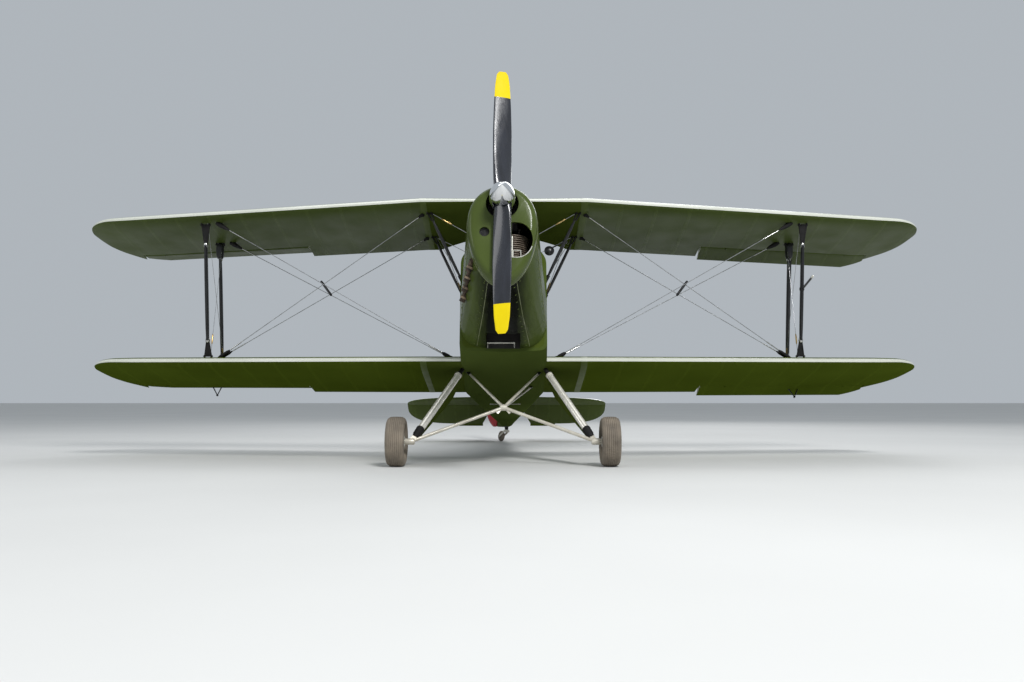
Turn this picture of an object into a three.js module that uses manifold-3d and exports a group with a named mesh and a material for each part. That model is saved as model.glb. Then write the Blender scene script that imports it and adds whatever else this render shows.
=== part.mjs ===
// A two-seat training biplane, parked tail-down on its wheels.
//
// Millimetres. The airframe is drawn level: +X to the aircraft's left, +Y aft, +Z up, with its
// origin at the middle of the main axle line. It is then turned nose-up about that line, and
// the whole group is moved so that its origin is at the bottom centre of its box.

import * as THREE from 'three';
import { mergeVertices } from 'three/addons/utils/BufferGeometryUtils.js';
import Module from 'manifold-3d';

const wasm = await Module();
wasm.setup();

const radians = THREE.MathUtils.degToRad;
const GAP = 0.3;                      // between two fixed pieces that touch
const PARKED_ANGLE = radians(13.5);   // nose up, standing on the tail wheel

// Materials
const paint = (color, roughness, metalness = 0) =>
  new THREE.MeshStandardMaterial({ color, roughness, metalness });
const OLIVE = paint(0x4a5a2c, 0.3);
const DARK_OLIVE = paint(0x3a4520, 0.35);
const BLACK = paint(0x17181a, 0.4);
const PROPELLER_GREY = paint(0x2c2f38, 0.25);
const POLISHED = paint(0xc8ccd0, 0.1, 1);
const SILVER = paint(0xb9bcc0, 0.3, 0.9);
const CREAM = paint(0xd9d2bf, 0.4, 0.4);
const STEEL = paint(0x8d9196, 0.35, 0.9);
const RUST = paint(0x7d5a48, 0.7, 0.5);
const CAST = paint(0x5b5d5e, 0.6, 0.6);
const TYRE = paint(0x55493f, 0.85);
const LEATHER = paint(0x5a3a25, 0.6);
const GLASS = new THREE.MeshStandardMaterial({
  color: 0xdfe8ea, roughness: 0.05, transparent: true, opacity: 0.35,
});

// Solids
const point = (x, y, z) => new THREE.Vector3(x, y, z);

function plain(geometry) {
  const bare = geometry.clone();
  bare.deleteAttribute('normal');
  bare.deleteAttribute('uv');
  return mergeVertices(bare, 1e-4);
}

// Points closer than the weld distance become one, and the triangles that this flattens go
const WELD = 0.02;
function welded(geometry) {
  const merged = mergeVertices(geometry, WELD);
  const old = merged.index.array;
  const kept = [];
  for (let i = 0; i < old.length; i += 3) {
    const [a, b, c] = [old[i], old[i + 1], old[i + 2]];
    if (a !== b && b !== c && c !== a) kept.push(a, b, c);
  }
  merged.setIndex(kept);
  return merged;
}

function toSolid(geometry) {
  const bare = plain(geometry);
  return new wasm.Manifold(new wasm.Mesh({
    numProp: 3,
    vertProperties: new Float32Array(bare.attributes.position.array),
    triVerts: new Uint32Array(bare.index.array),
  }));
}

function toGeometry(solid) {
  const mesh = solid.getMesh();
  const geometry = new THREE.BufferGeometry();
  geometry.setAttribute('position', new THREE.BufferAttribute(mesh.vertProperties, 3));
  geometry.setIndex(new THREE.BufferAttribute(mesh.triVerts, 1));
  return geometry;
}

const join = (...pieces) => toGeometry(pieces.map(toSolid).reduce((a, b) => a.add(b)));
const cut = (base, ...tools) =>
  toGeometry(tools.map(toSolid).reduce((a, b) => a.subtract(b), toSolid(base)));
const overlap = (a, b) => toGeometry(toSolid(a).intersect(toSolid(b)));
const moved = (geometry, x, y, z) => geometry.clone().translate(x, y, z);

// The largest connected body of a solid that a cut has left in pieces
function largest(geometry) {
  const bodies = toSolid(geometry).decompose();
  const biggest = bodies.reduce((a, b) => (b.volume() > a.volume() ? b : a));
  return toGeometry(biggest);
}

function mirrored(geometry) {
  const other = plain(geometry);
  other.scale(-1, 1, 1);
  const index = other.index.array;
  for (let i = 0; i < index.length; i += 3) {
    [index[i + 1], index[i + 2]] = [index[i + 2], index[i + 1]];
  }
  return other;
}

function ringNormal(ring) {
  const normal = point(0, 0, 0);
  ring.forEach((p, i) => {
    const q = ring[(i + 1) % ring.length];
    normal.add(point((p.y - q.y) * (p.z + q.z), (p.z - q.z) * (p.x + q.x), (p.x - q.x) * (p.y + q.y)));
  });
  return normal;
}

function ringCentre(ring) {
  const sum = ring.reduce((total, p) => total.add(p), point(0, 0, 0));
  return sum.divideScalar(ring.length);
}

// A closed skin through rings of equal length, with a flat cap on each end
function loft(rings) {
  const count = rings[0].length;
  const advance = ringCentre(rings.at(-1)).sub(ringCentre(rings[0]));
  const forward = ringNormal(rings[0]).dot(advance) > 0;
  const index = [];
  const face = (a, b, c) => (forward ? index.push(a, b, c) : index.push(a, c, b));
  for (let i = 0; i + 1 < rings.length; i += 1) {
    for (let j = 0; j < count; j += 1) {
      const a = i * count + j;
      const b = i * count + ((j + 1) % count);
      face(a, b, b + count);
      face(a, b + count, a + count);
    }
  }
  for (const [ring, first, out] of [[rings[0], 0, -1], [rings.at(-1), (rings.length - 1) * count, 1]]) {
    const normal = ringNormal(ring).normalize();
    const across = point(0, 0, 1).cross(normal);
    const side = across.lengthSq() > 1e-6 ? across.normalize() : point(1, 0, 0);
    const up = normal.clone().cross(side);
    const flat = ring.map((p) => new THREE.Vector2(p.dot(side), p.dot(up)));
    for (const [a, b, c] of THREE.ShapeUtils.triangulateShape(flat, [])) {
      const turn = flat[b].clone().sub(flat[a]).cross(flat[c].clone().sub(flat[a]));
      const outward = (turn > 0) === forward ? 1 : -1;
      index.push(first + a, ...(outward === out ? [first + b, first + c] : [first + c, first + b]));
    }
  }
  const geometry = new THREE.BufferGeometry();
  const positions = rings.flat().flatMap((p) => [p.x, p.y, p.z]);
  geometry.setAttribute('position', new THREE.Float32BufferAttribute(positions, 3));
  geometry.setIndex(index);
  return geometry;
}

// A box between two corners
function block(x0, x1, y0, y1, z0, z1) {
  const box = new THREE.BoxGeometry(x1 - x0, y1 - y0, z1 - z0);
  return box.translate((x0 + x1) / 2, (y0 + y1) / 2, (z0 + z1) / 2);
}

// A round bar from a to b
function bar(a, b, radius, sides = 10, endRadius = radius) {
  const along = b.clone().sub(a);
  const rod = new THREE.CylinderGeometry(endRadius, radius, along.length(), sides);
  const turn = new THREE.Quaternion().setFromUnitVectors(point(0, 1, 0), along.clone().normalize());
  return rod.applyQuaternion(turn).translate((a.x + b.x) / 2, (a.y + b.y) / 2, (a.z + b.z) / 2);
}

// A streamlined bar from a to b: a flattened section with its long side fore and aft
function streamlined(a, b, chord, width, sides = 10, endScale = 1) {
  const along = b.clone().sub(a).normalize();
  const side = point(0, 1, 0).cross(along).normalize();
  const aft = along.clone().cross(side);
  const ringAt = (centre, scale) => Array.from({ length: sides }, (_, i) => {
    const angle = (2 * Math.PI * i) / sides;
    return centre.clone()
      .addScaledVector(side, (scale * width * Math.cos(angle)) / 2)
      .addScaledVector(aft, (scale * chord * Math.sin(angle)) / 2);
  });
  return loft([ringAt(a, 1), ringAt(b, endScale)]);
}

// A flat strap from a to b, its thickness along the side direction
function strap(a, b, side, width, thickness) {
  const along = b.clone().sub(a).normalize();
  const across = along.clone().cross(side).normalize();
  const ringAt = (p) => [[-1, -1], [1, -1], [1, 1], [-1, 1]].map(([u, v]) => p.clone()
    .addScaledVector(side, (u * thickness) / 2)
    .addScaledVector(across, (v * width) / 2));
  return loft([ringAt(a), ringAt(b)]);
}

// A solid and its copies, each shifted a little, that cut a neighbour back by a gap
const withShifts = (geometry, ...shifts) =>
  [geometry, ...shifts.map((shift) => moved(geometry, ...shift))];

const between = (a, b, t) => a.clone().lerp(b, t);
const mix = (a, b, t) => a + (b - a) * t;

// A body of revolution about a line along X: rows of [x, radius]
function turnedAboutX(rows, segments) {
  const profile = rows.map(([x, radius]) => new THREE.Vector2(radius, x));
  const lathe = new THREE.LatheGeometry(profile, segments);
  return lathe.rotateX(Math.PI / 2).rotateY(Math.PI / 2).rotateX(Math.PI);
}

// A body of revolution about a line along Y: rows of [y, radius], from the back to the front
function turnedAboutY(rows, segments) {
  const profile = rows.map(([y, radius]) => new THREE.Vector2(radius, y)).reverse();
  return new THREE.LatheGeometry(profile, segments);
}

// The airframe, drawn level
const airframe = new THREE.Group();
airframe.rotation.x = -PARKED_ANGLE;

function add(name, geometry, material) {
  const bare = welded(plain(geometry));
  bare.computeVertexNormals();
  const mesh = new THREE.Mesh(bare, material);
  mesh.name = name;
  airframe.add(mesh);
  return mesh;
}

const SIDES = [['left', (geometry) => geometry, 1], ['right', mirrored, -1]];

// Wings
const CHORD = 1020;
const JOINT_X = 680;
const SWEEP = radians(11);
const INCIDENCE = radians(1);
const SECTION_DEPTH = 0.115;
const SECTION_CAMBER = 0.025;
const CAMBER_PLACE = 0.4;
const EDGE_HALF_THICKNESS = 1.2;
const UPPER = { edgeY: -115, edgeZ: 1963, dihedral: radians(1.25) };
const LOWER = { edgeY: 285, edgeZ: 731, dihedral: radians(2.95) };
// x, and the shares of the chord where the wing begins and ends
const TIP_OUTLINE = [
  { x: 3200, front: 0, rear: 1 },
  { x: 3300, front: 0, rear: 0.945 },
  { x: 3390, front: 0, rear: 0.87 },
  { x: 3460, front: 0.005, rear: 0.79 },
  { x: 3550, front: 0.04, rear: 0.68 },
  { x: 3620, front: 0.105, rear: 0.545 },
  { x: 3650, front: 0.165, rear: 0.42 },
  { x: 3665, front: 0.22, rear: 0.33 },
  { x: 3670, front: 0.25, rear: 0.29 },
];
// Shares of the chord of the spar fittings, by the body and at the outer struts
const INNER_SPARS = { front: 0.15, rear: 0.66 };
const OUTER_SPARS = { front: 0.11, rear: 0.55 };

function leadingEdge(wing, x) {
  const out = Math.max(0, x - JOINT_X);
  return point(x, wing.edgeY + out * Math.tan(SWEEP), wing.edgeZ + out * Math.tan(wing.dihedral));
}

// The point at a share of the chord, and a height above the chord line in millimetres
function onChord(wing, x, share, height = 0) {
  const edge = leadingEdge(wing, x);
  const back = share * CHORD;
  return point(
    x,
    edge.y + back * Math.cos(INCIDENCE) + height * Math.sin(INCIDENCE),
    edge.z - back * Math.sin(INCIDENCE) + height * Math.cos(INCIDENCE),
  );
}

function halfDepth(t) {
  return 5 * SECTION_DEPTH
    * (0.2969 * Math.sqrt(t) - 0.126 * t - 0.3516 * t ** 2 + 0.2843 * t ** 3 - 0.1036 * t ** 4);
}

function camber(t) {
  const p = CAMBER_PLACE;
  return t < p
    ? (SECTION_CAMBER / p ** 2) * (2 * p * t - t ** 2)
    : (SECTION_CAMBER / (1 - p) ** 2) * (1 - 2 * p + 2 * p * t - t ** 2);
}

const SECTION_SHARES = [1, 0.88, 0.76, 0.6, 0.42, 0.26, 0.13, 0.05, 0.012];

// A closed wing section at x, squeezed between two shares of the chord
function wingRing(wing, x, front = 0, rear = 1) {
  const size = (rear - front) * CHORD;
  const at = (t, sign) => {
    const height = camber(t) * size + sign * (halfDepth(t) * size + EDGE_HALF_THICKNESS);
    return onChord(wing, x, mix(front, rear, t), height);
  };
  const top = SECTION_SHARES.map((t) => at(t, 1));
  const bottom = SECTION_SHARES.map((t) => at(t, -1)).reverse();
  return [...top, onChord(wing, x, front), ...bottom];
}

function tipShares(x) {
  const after = Math.max(1, TIP_OUTLINE.findIndex((row) => row.x >= x));
  const [a, b] = [TIP_OUTLINE[after - 1], TIP_OUTLINE[after]];
  const t = Math.max(0, (x - a.x) / (b.x - a.x));
  return [mix(a.front, b.front, t), mix(a.rear, b.rear, t)];
}

// Hinged surfaces. A hinge frame has its origin on the hinge line and its X along it.
const HINGE_PLATE = 6;
const HINGE_SLOT = 6.8;
const HINGE_SLOT_BEHIND = 5;
const HINGE_ROOT = 6;                 // how far a bracket is sunk in what carries it

function hingeFrame(a, b) {
  const along = b.clone().sub(a).normalize();
  const up = point(0, 0, 1).addScaledVector(along, -along.z).normalize();
  const aft = up.clone().cross(along);
  return { origin: a, along, matrix: new THREE.Matrix4().makeBasis(along, aft, up).setPosition(a) };
}

const inHingeFrame = (frame, geometry) => geometry.applyMatrix4(frame.matrix);

function turnedAbout(geometry, frame, angle) {
  const there = new THREE.Matrix4().makeTranslation(frame.origin);
  const turn = new THREE.Matrix4().makeRotationAxis(frame.along, angle);
  const back = new THREE.Matrix4().makeTranslation(frame.origin.clone().negate());
  return geometry.clone().applyMatrix4(there.multiply(turn).multiply(back));
}

// Brackets that reach back to a hinge line, and the slots that they stand in
function hingeBrackets(frame, places, reach, height) {
  const knuckle = height / 2;
  return places.map((x) => {
    const arm = block(x - HINGE_PLATE / 2, x + HINGE_PLATE / 2, -reach, 0, -knuckle, knuckle);
    const eye = new THREE.CylinderGeometry(knuckle, knuckle, HINGE_PLATE, 12).rotateZ(Math.PI / 2);
    return inHingeFrame(frame, join(arm, eye.translate(x, 0, 0)));
  });
}

function hingeSlots(frame, places, reach, height) {
  return places.map((x) => inHingeFrame(
    frame,
    block(x - HINGE_SLOT / 2, x + HINGE_SLOT / 2, -reach, height / 2 + HINGE_SLOT_BEHIND, -reach, reach),
  ));
}

// Ailerons
const AILERON = {
  inner: 1770, outer: 3390, endGap: 10, hingeShare: 0.79, bayShare: 0.753, noseRadius: 24.5,
  rest: radians(10), brackets: [250, 1430], bracketHeight: 18, slotDepth: 60, skin: 1.8,
};
const HORN = { x: 2675, back: 95, above: 30, below: 50, radius: 11, thickness: 7 };
// The rod is pinned close beside the lower ear, and runs free beside the upper one
const LINK = { lowPlay: 0.5, highPlay: 3, neck: 45, lap: 10, strapWidth: 18, strap: 5, radius: 7 };

function aileronFrame(wing) {
  const height = camber(AILERON.hingeShare) * CHORD;
  return hingeFrame(
    onChord(wing, AILERON.inner, AILERON.hingeShare, height),
    onChord(wing, AILERON.outer, AILERON.hingeShare, height),
  );
}

// The nose is a half round inside the wing's section, which is shallower near the tip
function aileronRing(wing, x) {
  const { hingeShare, skin } = AILERON;
  const [, rear] = tipShares(x);
  const size = rear * CHORD;
  const place = hingeShare / rear;
  const height = camber(place) * size;
  const radius = Math.min(AILERON.noseRadius, halfDepth(place) * size + EDGE_HALF_THICKNESS - skin);
  const nose = Array.from({ length: 7 }, (_, i) => {
    const angle = Math.PI / 2 + (i * Math.PI) / 6;
    const share = hingeShare + (radius * Math.cos(angle)) / CHORD;
    return onChord(wing, x, share, height + radius * Math.sin(angle));
  });
  const tail = [-EDGE_HALF_THICKNESS, EDGE_HALF_THICKNESS].map((edge) => onChord(wing, x, rear, edge));
  return [...nose, ...tail];
}

function aileronBay(wing) {
  const reach = 200;
  const ringAt = (x) => [
    onChord(wing, x, AILERON.bayShare, reach),
    onChord(wing, x, AILERON.bayShare, -reach),
    onChord(wing, x, 1.2, -reach),
    onChord(wing, x, 1.2, reach),
  ];
  return loft([ringAt(AILERON.inner), ringAt(AILERON.outer)]);
}

// The ear stands above the lower aileron and below the upper one
const hornPlace = (wing) => {
  const frame = aileronFrame(wing);
  const along = (HORN.x - AILERON.inner) / frame.along.x;
  return { frame, along, back: HORN.back, up: wing === UPPER ? -HORN.below : HORN.above };
};

// A flat ear on the aileron, that the link rod is pinned beside
function hornEar(wing) {
  const { frame, along, back, up: height } = hornPlace(wing);
  const half = HORN.thickness / 2;
  const disc = new THREE.CylinderGeometry(HORN.radius, HORN.radius, HORN.thickness, 12);
  const eye = disc.rotateZ(Math.PI / 2);
  const foot = block(along - half, along + half, back - HORN.radius, back + 3 * HORN.radius,
    Math.min(0, height), Math.max(0, height));
  return inHingeFrame(frame, join(eye.translate(along, back, height), foot));
}

function aileron(wing, rest) {
  const frame = aileronFrame(wing);
  const stations = [
    AILERON.inner + AILERON.endGap,
    ...TIP_OUTLINE.map((row) => row.x).filter((x) => x < AILERON.outer),
    AILERON.outer - AILERON.endGap,
  ];
  const blade = loft(stations.map((x) => aileronRing(wing, x)));
  const slots = hingeSlots(frame, AILERON.brackets, AILERON.slotDepth, AILERON.bracketHeight);
  const solid = cut(join(blade, hornEar(wing)), ...slots);
  return turnedAbout(solid, frame, rest);
}

function outerWing(wing) {
  const frame = aileronFrame(wing);
  const stations = [JOINT_X + GAP, AILERON.inner, ...TIP_OUTLINE.map((row) => row.x)];
  const body = loft(stations.map((x) => wingRing(wing, x, ...tipShares(x))));
  const open = cut(body, aileronBay(wing));
  const reach = (AILERON.hingeShare - AILERON.bayShare) * CHORD + HINGE_ROOT;
  return join(open, ...hingeBrackets(frame, AILERON.brackets, reach, AILERON.bracketHeight));
}

// The link rod runs from the lower aileron's ear to the upper one's, beside both
function linkRod(rest) {
  const half = HORN.thickness / 2;
  const end = (wing, play) => {
    const { frame, along, back, up: height } = hornPlace(wing);
    const pin = point(along, back, height).applyMatrix4(frame.matrix);
    pin.sub(frame.origin).applyAxisAngle(frame.along, rest).add(frame.origin);
    return { side: frame.along, at: pin.addScaledVector(frame.along, HORN.thickness + play) };
  };
  const low = end(LOWER, LINK.lowPlay);
  const high = end(UPPER, LINK.highPlay);
  const along = high.at.clone().sub(low.at).normalize();
  const eye = ({ at, side }) => bar(
    at.clone().addScaledVector(side, -half),
    at.clone().addScaledVector(side, half),
    HORN.radius,
    12,
  );
  const lowNeck = low.at.clone().addScaledVector(along, LINK.neck);
  const highNeck = high.at.clone().addScaledVector(along, -LINK.neck);
  const lowLap = lowNeck.clone().addScaledVector(along, LINK.lap);
  const highLap = highNeck.clone().addScaledVector(along, -LINK.lap);
  return join(
    eye(low), eye(high),
    strap(low.at, lowLap, low.side, LINK.strapWidth, LINK.strap),
    strap(highLap, high.at, high.side, LINK.strapWidth, LINK.strap),
    bar(lowNeck, highNeck, LINK.radius, 10),
  );
}

// The upper centre section, with a curved cut-out in its trailing edge
const CUTOUT = { halfWidth: 580, depth: 0.3 };
const CENTRE_STATIONS = [-JOINT_X + GAP, -580, -460, -340, -200, 0, 200, 340, 460, 580, JOINT_X - GAP];
const centreRing = (x) => {
  const inside = Math.max(0, Math.cos((Math.PI / 2) * Math.min(1, Math.abs(x) / CUTOUT.halfWidth)));
  return wingRing(UPPER, JOINT_X, 0, 1 - CUTOUT.depth * inside).map((p) => point(x, p.y, p.z));
};
const centreSection = loft(CENTRE_STATIONS.map(centreRing));
const upperWing = outerWing(UPPER);
const lowerWing = outerWing(LOWER);

// Fuselage: rows of stations
// y, half width, height of the bottom edge, height of the upper longeron
const FUSELAGE_STATIONS = [
  { y: -125, half: 340, bottom: 690, top: 1395 },
  { y: 500, half: 358, bottom: 672, top: 1400 },
  { y: 1250, half: 358, bottom: 672, top: 1400 },
  { y: 2050, half: 290, bottom: 768, top: 1392 },
];
const REAR_STATIONS = [
  { y: 2050, half: 290, bottom: 768, top: 1392 },
  { y: 3300, half: 180, bottom: 920, top: 1374 },
  { y: 4400, half: 80, bottom: 1052, top: 1313.4 },
  { y: 4500, half: 50, bottom: 1066, top: 1288 },
];
const WALL = 22;
const CHINE = 55;
const FIREWALL_Y = -125;
const KEEL_DROP = 12;
const NARROW_CHINE = 0.6;             // share of the half width, where the body is slim

function fuselageAt(stations, y) {
  const after = Math.max(1, stations.findIndex((s) => s.y >= y));
  const [a, b] = [stations[after - 1], stations[after]];
  const t = (y - a.y) / (b.y - a.y);
  const at = (key) => mix(a[key], b[key], t);
  return { y, half: at('half'), bottom: at('bottom'), top: at('top') };
}

const sideRing = ({ y, half, bottom, top }) => [
  point(half, y, top), point(half - WALL, y, top),
  point(half - WALL, y, bottom + CHINE + GAP), point(half, y, bottom + CHINE + GAP),
];
const floorRing = ({ y, half, bottom }) => {
  const edge = bottom + CHINE;
  const right = [[half, edge], [half - CHINE, bottom], [0, bottom - KEEL_DROP]];
  const inner = [[-half + WALL + CHINE, bottom + WALL], [half - WALL - CHINE, bottom + WALL]];
  return [
    ...right.map(([x, z]) => point(x, y, z)),
    point(-half + CHINE, y, bottom), point(-half, y, edge), point(-half + WALL, y, edge),
    ...inner.map(([x, z]) => point(x, y, z)),
    point(half - WALL, y, edge),
  ];
};
const fullRing = ({ y, half, bottom, top }) => {
  const flat = half - Math.min(CHINE, half * NARROW_CHINE);
  return [
    point(half, y, top), point(half, y, bottom + CHINE), point(flat, y, bottom),
    point(0, y, bottom - KEEL_DROP),
    point(-flat, y, bottom), point(-half, y, bottom + CHINE), point(-half, y, top),
  ];
};

const fuselageSide = loft(FUSELAGE_STATIONS.map(sideRing));
const firewallPlate = () => {
  const { half, bottom, top } = FUSELAGE_STATIONS[0];
  const ring = (y) => [
    point(half - WALL - GAP, y, top), point(half - WALL - GAP, y, bottom + CHINE / 2),
    point(half - WALL - CHINE, y, bottom + WALL / 2),
    point(-half + WALL + CHINE, y, bottom + WALL / 2),
    point(-half + WALL + GAP, y, bottom + CHINE / 2), point(-half + WALL + GAP, y, top),
  ];
  return loft([ring(FIREWALL_Y), ring(FIREWALL_Y + 15)]);
};
const fuselageFloor = join(loft(FUSELAGE_STATIONS.map(floorRing)), firewallPlate());
const rearFuselage = loft(REAR_STATIONS.map((s, i) => fullRing({ ...s, y: s.y + (i === 0 ? GAP : 0) })));

// The whole body's outer shape, which cuts back what stands on it
const fuselageBody = loft([...FUSELAGE_STATIONS, ...REAR_STATIONS.slice(1)].map(fullRing));
const STUB_INNER_X = 330;
const stubRings = [STUB_INNER_X, JOINT_X - GAP].map((x) =>
  wingRing(LOWER, JOINT_X).map((p) => point(x, p.y, p.z)));
const lowerStub = largest(cut(loft(stubRings), moved(fuselageBody, GAP, 0, 0)));

// Decks: arches that stand on the upper longerons
// y, half width, base height, height of the crown
const DECK_STATIONS = [
  { y: -125, half: 340, base: 1395, crown: 1590 },
  { y: 450, half: 357, base: 1400, crown: 1615 },
  { y: 1250, half: 358, base: 1400, crown: 1625 },
  { y: 2050, half: 290, base: 1392, crown: 1630 },
];
const TURTLE_STATIONS = [
  { y: 2050, half: 290, base: 1392, crown: 1630 },
  { y: 2800, half: 224, base: 1381, crown: 1560 },
  { y: 3300, half: 180, base: 1374, crown: 1492 },
  { y: 4010, half: 115, base: 1335, crown: 1376 },
];
const ARCH_POWER = 2.4;
const ARCH_STEPS = 14;

function archRing({ y, half, base, crown }, inset = 0, lift = GAP) {
  return Array.from({ length: ARCH_STEPS + 1 }, (_, i) => {
    const angle = (Math.PI * i) / ARCH_STEPS;
    const cosine = Math.cos(angle);
    const x = Math.sign(cosine) * Math.abs(cosine) ** (2 / ARCH_POWER) * (half - inset);
    const z = Math.abs(Math.sin(angle)) ** (2 / ARCH_POWER) * (crown - base - inset);
    return point(x, y, base + lift + z);
  });
}

const FRONT_COCKPIT = { front: 470, rear: 1090, half: 255 };
const REAR_COCKPIT = { front: 1400, rear: 2010, half: 240 };

// An oval prism that cuts a cockpit opening down through the deck
function cockpitCutter({ front, rear, half }) {
  const middle = (front + rear) / 2;
  const length = (rear - front) / 2;
  const ringAt = (z) => Array.from({ length: 20 }, (_, i) => {
    const angle = (2 * Math.PI * i) / 20;
    const squareness = 2 / 3.2;
    const reach = (value) => Math.sign(value) * Math.abs(value) ** squareness;
    return point(half * reach(Math.cos(angle)), middle + length * reach(Math.sin(angle)), z);
  });
  return loft([ringAt(1350), ringAt(1800)]);
}

const deckOuter = loft(DECK_STATIONS.map((s) => archRing(s)));
const deckInner = loft(DECK_STATIONS.map((s, i) => {
  const last = DECK_STATIONS.length - 1;
  const y = s.y + (i === 0 ? 18 : 0) - (i === last ? 18 : 0);
  return archRing({ ...s, y, base: s.base - 20 }, WALL, 0);
}));
const cockpitDeck = cut(deckOuter, deckInner, cockpitCutter(FRONT_COCKPIT), cockpitCutter(REAR_COCKPIT));
const turtledeck = (() => {
  const body = loft(TURTLE_STATIONS.map((s, i) => archRing({ ...s, y: s.y + (i === 0 ? GAP : 0) })));
  const headrest = loft([
    archRing({ y: 2050 + GAP, half: 120, base: 1560, crown: 1760 }),
    archRing({ y: 2400, half: 95, base: 1540, crown: 1700 }),
    archRing({ y: 3000, half: 45, base: 1500, crown: 1560 }),
  ]);
  return join(body, headrest);
})();

// Instrument panels hang under the deck, ahead of each cockpit. The deck and the sides are also
// cut from a panel a little further forward, so that neither overhangs its face where they taper.
const PANEL_LEAD = 12;
function panel(y) {
  const station = fuselageAt(FUSELAGE_STATIONS, y);
  const deck = DECK_STATIONS.findLast((s) => s.y <= y);
  const half = station.half - WALL / 2;
  const outline = archRing({ y, half, base: deck.base - 60, crown: deck.crown });
  const lower = [point(-half, y, station.top - 240), point(half, y, station.top - 240)];
  const ring = [...outline, ...lower];
  const plate = loft([ring, ring.map((p) => point(p.x, p.y + 12, p.z))]);
  return largest(cut(
    plate,
    ...withShifts(cockpitDeck, [0, 0, -GAP], [0, -PANEL_LEAD, -GAP]),
    ...withShifts(fuselageSide, [-GAP, 0, 0], [-GAP, -PANEL_LEAD, 0]),
    ...withShifts(mirrored(fuselageSide), [GAP, 0, 0], [GAP, -PANEL_LEAD, 0]),
  ));
}

// Seats: a pan and a back on a box that stands on the floor
const SEAT = { half: 200, depth: 380, pan: 960, back: 420, thickness: 40, rake: 60 };
function seat(rearY) {
  const frontY = rearY - SEAT.depth;
  const floor = fuselageAt(FUSELAGE_STATIONS, rearY - SEAT.depth).bottom;
  const pan = block(-SEAT.half, SEAT.half, frontY, rearY, SEAT.pan - SEAT.thickness, SEAT.pan);
  const stand = block(-SEAT.half + 40, SEAT.half - 40, frontY + 60, rearY - 60, floor, SEAT.pan - 10);
  const top = SEAT.pan + SEAT.back;
  const back = loft([SEAT.pan - 20, top].map((z, i) => {
    const lean = i * SEAT.rake;
    const half = SEAT.half - i * 30;
    return [
      point(-half, rearY - SEAT.thickness + lean, z), point(half, rearY - SEAT.thickness + lean, z),
      point(half, rearY + lean, z), point(-half, rearY + lean, z),
    ];
  }));
  return largest(cut(join(pan, stand, back), moved(fuselageFloor, 0, 0, GAP)));
}

// Windscreens: a flat pane with two side panes, raked aft
const SCREEN = { half: 150, wing: 250, sideBack: 190, height: 250, rake: 120, glass: 6 };
function windscreen(y, base) {
  const pathAt = (t) => {
    const back = t * SCREEN.rake;
    const narrow = 1 - 0.12 * t;
    return [
      [-SCREEN.wing * narrow, y + SCREEN.sideBack + back * 0.6], [-SCREEN.half * narrow, y + back],
      [SCREEN.half * narrow, y + back], [SCREEN.wing * narrow, y + SCREEN.sideBack + back * 0.6],
    ];
  };
  const ringAt = (z, t) => {
    const outer = pathAt(t).map(([x, py]) => point(x, py, z));
    const inner = pathAt(t).reverse().map(([x, py]) => {
      const inward = Math.abs(x) > SCREEN.half * 1.2 ? SCREEN.glass : SCREEN.glass * 0.5;
      return point(x - Math.sign(x) * inward, py + SCREEN.glass, z);
    });
    return [...outer, ...inner];
  };
  const pane = loft([ringAt(base - 120, -0.3), ringAt(base + SCREEN.height, 1)]);
  return largest(cut(pane, ...withShifts(deckOuter, [0, 0, GAP])));
}

// Nose. A cowl ring: an ellipse above its widest height and a squarer curve below it.
const COWL_STEPS = 24;
function cowlRing({ y, half, top, bottom, widest, power }, inset = 0) {
  return Array.from({ length: COWL_STEPS }, (_, i) => {
    const angle = (2 * Math.PI * i) / COWL_STEPS;
    const [cosine, sine] = [Math.cos(angle), Math.sin(angle)];
    const n = sine > 0 ? 2.1 : power;
    const reach = sine > 0 ? top - inset - widest : widest - bottom - inset;
    const x = Math.sign(cosine) * Math.abs(cosine) ** (2 / n) * (half - inset);
    return point(x, y, widest + Math.sign(sine) * Math.abs(sine) ** (2 / n) * reach);
  });
}

const THRUST_Z = 1438;
const BOWL_JOINT_Y = -1120;
const BOWL_FRONT_Y = -1212;
// y, half width, top, bottom, height of the widest place, squareness below it
const COWL_STATIONS = [
  { y: BOWL_JOINT_Y, half: 246, top: 1582, bottom: 842, widest: 1300, power: 1.9 },
  { y: -700, half: 286, top: 1592, bottom: 752, widest: 1180, power: 2.5 },
  { y: -125, half: 340, top: 1592, bottom: 705, widest: 1000, power: 3.4 },
];
const BOWL_STATIONS = [
  { y: BOWL_JOINT_Y - GAP, half: 246, top: 1582, bottom: 842, widest: 1300, power: 1.9 },
  { y: -1175, half: 240, top: 1576, bottom: 852, widest: 1300, power: 1.9 },
  { y: -1203, half: 222, top: 1558, bottom: 876, widest: 1298, power: 1.9 },
  { y: BOWL_FRONT_Y, half: 196, top: 1532, bottom: 906, widest: 1296, power: 1.9 },
];
const COWL_WALL = 14;
const SHAFT_RECESS_RADIUS = 114;
const INTAKE = { left: 62, right: 212, low: 1030, high: 1290 };
const OUTLET = { half: 130, front: -420, rear: -125 };

const cowlInner = loft(COWL_STATIONS.map((s, i) => {
  const y = s.y + (i === 0 ? -10 : 0) + (i === COWL_STATIONS.length - 1 ? 10 : 0);
  return cowlRing({ ...s, y }, COWL_WALL);
}));
const engineCowl = cut(
  loft(COWL_STATIONS.map((s) => cowlRing({ ...s, y: Math.min(s.y, FIREWALL_Y - GAP) }))),
  cowlInner,
  block(-OUTLET.half, OUTLET.half, OUTLET.front, OUTLET.rear + 20, 600, 860),
);

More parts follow.
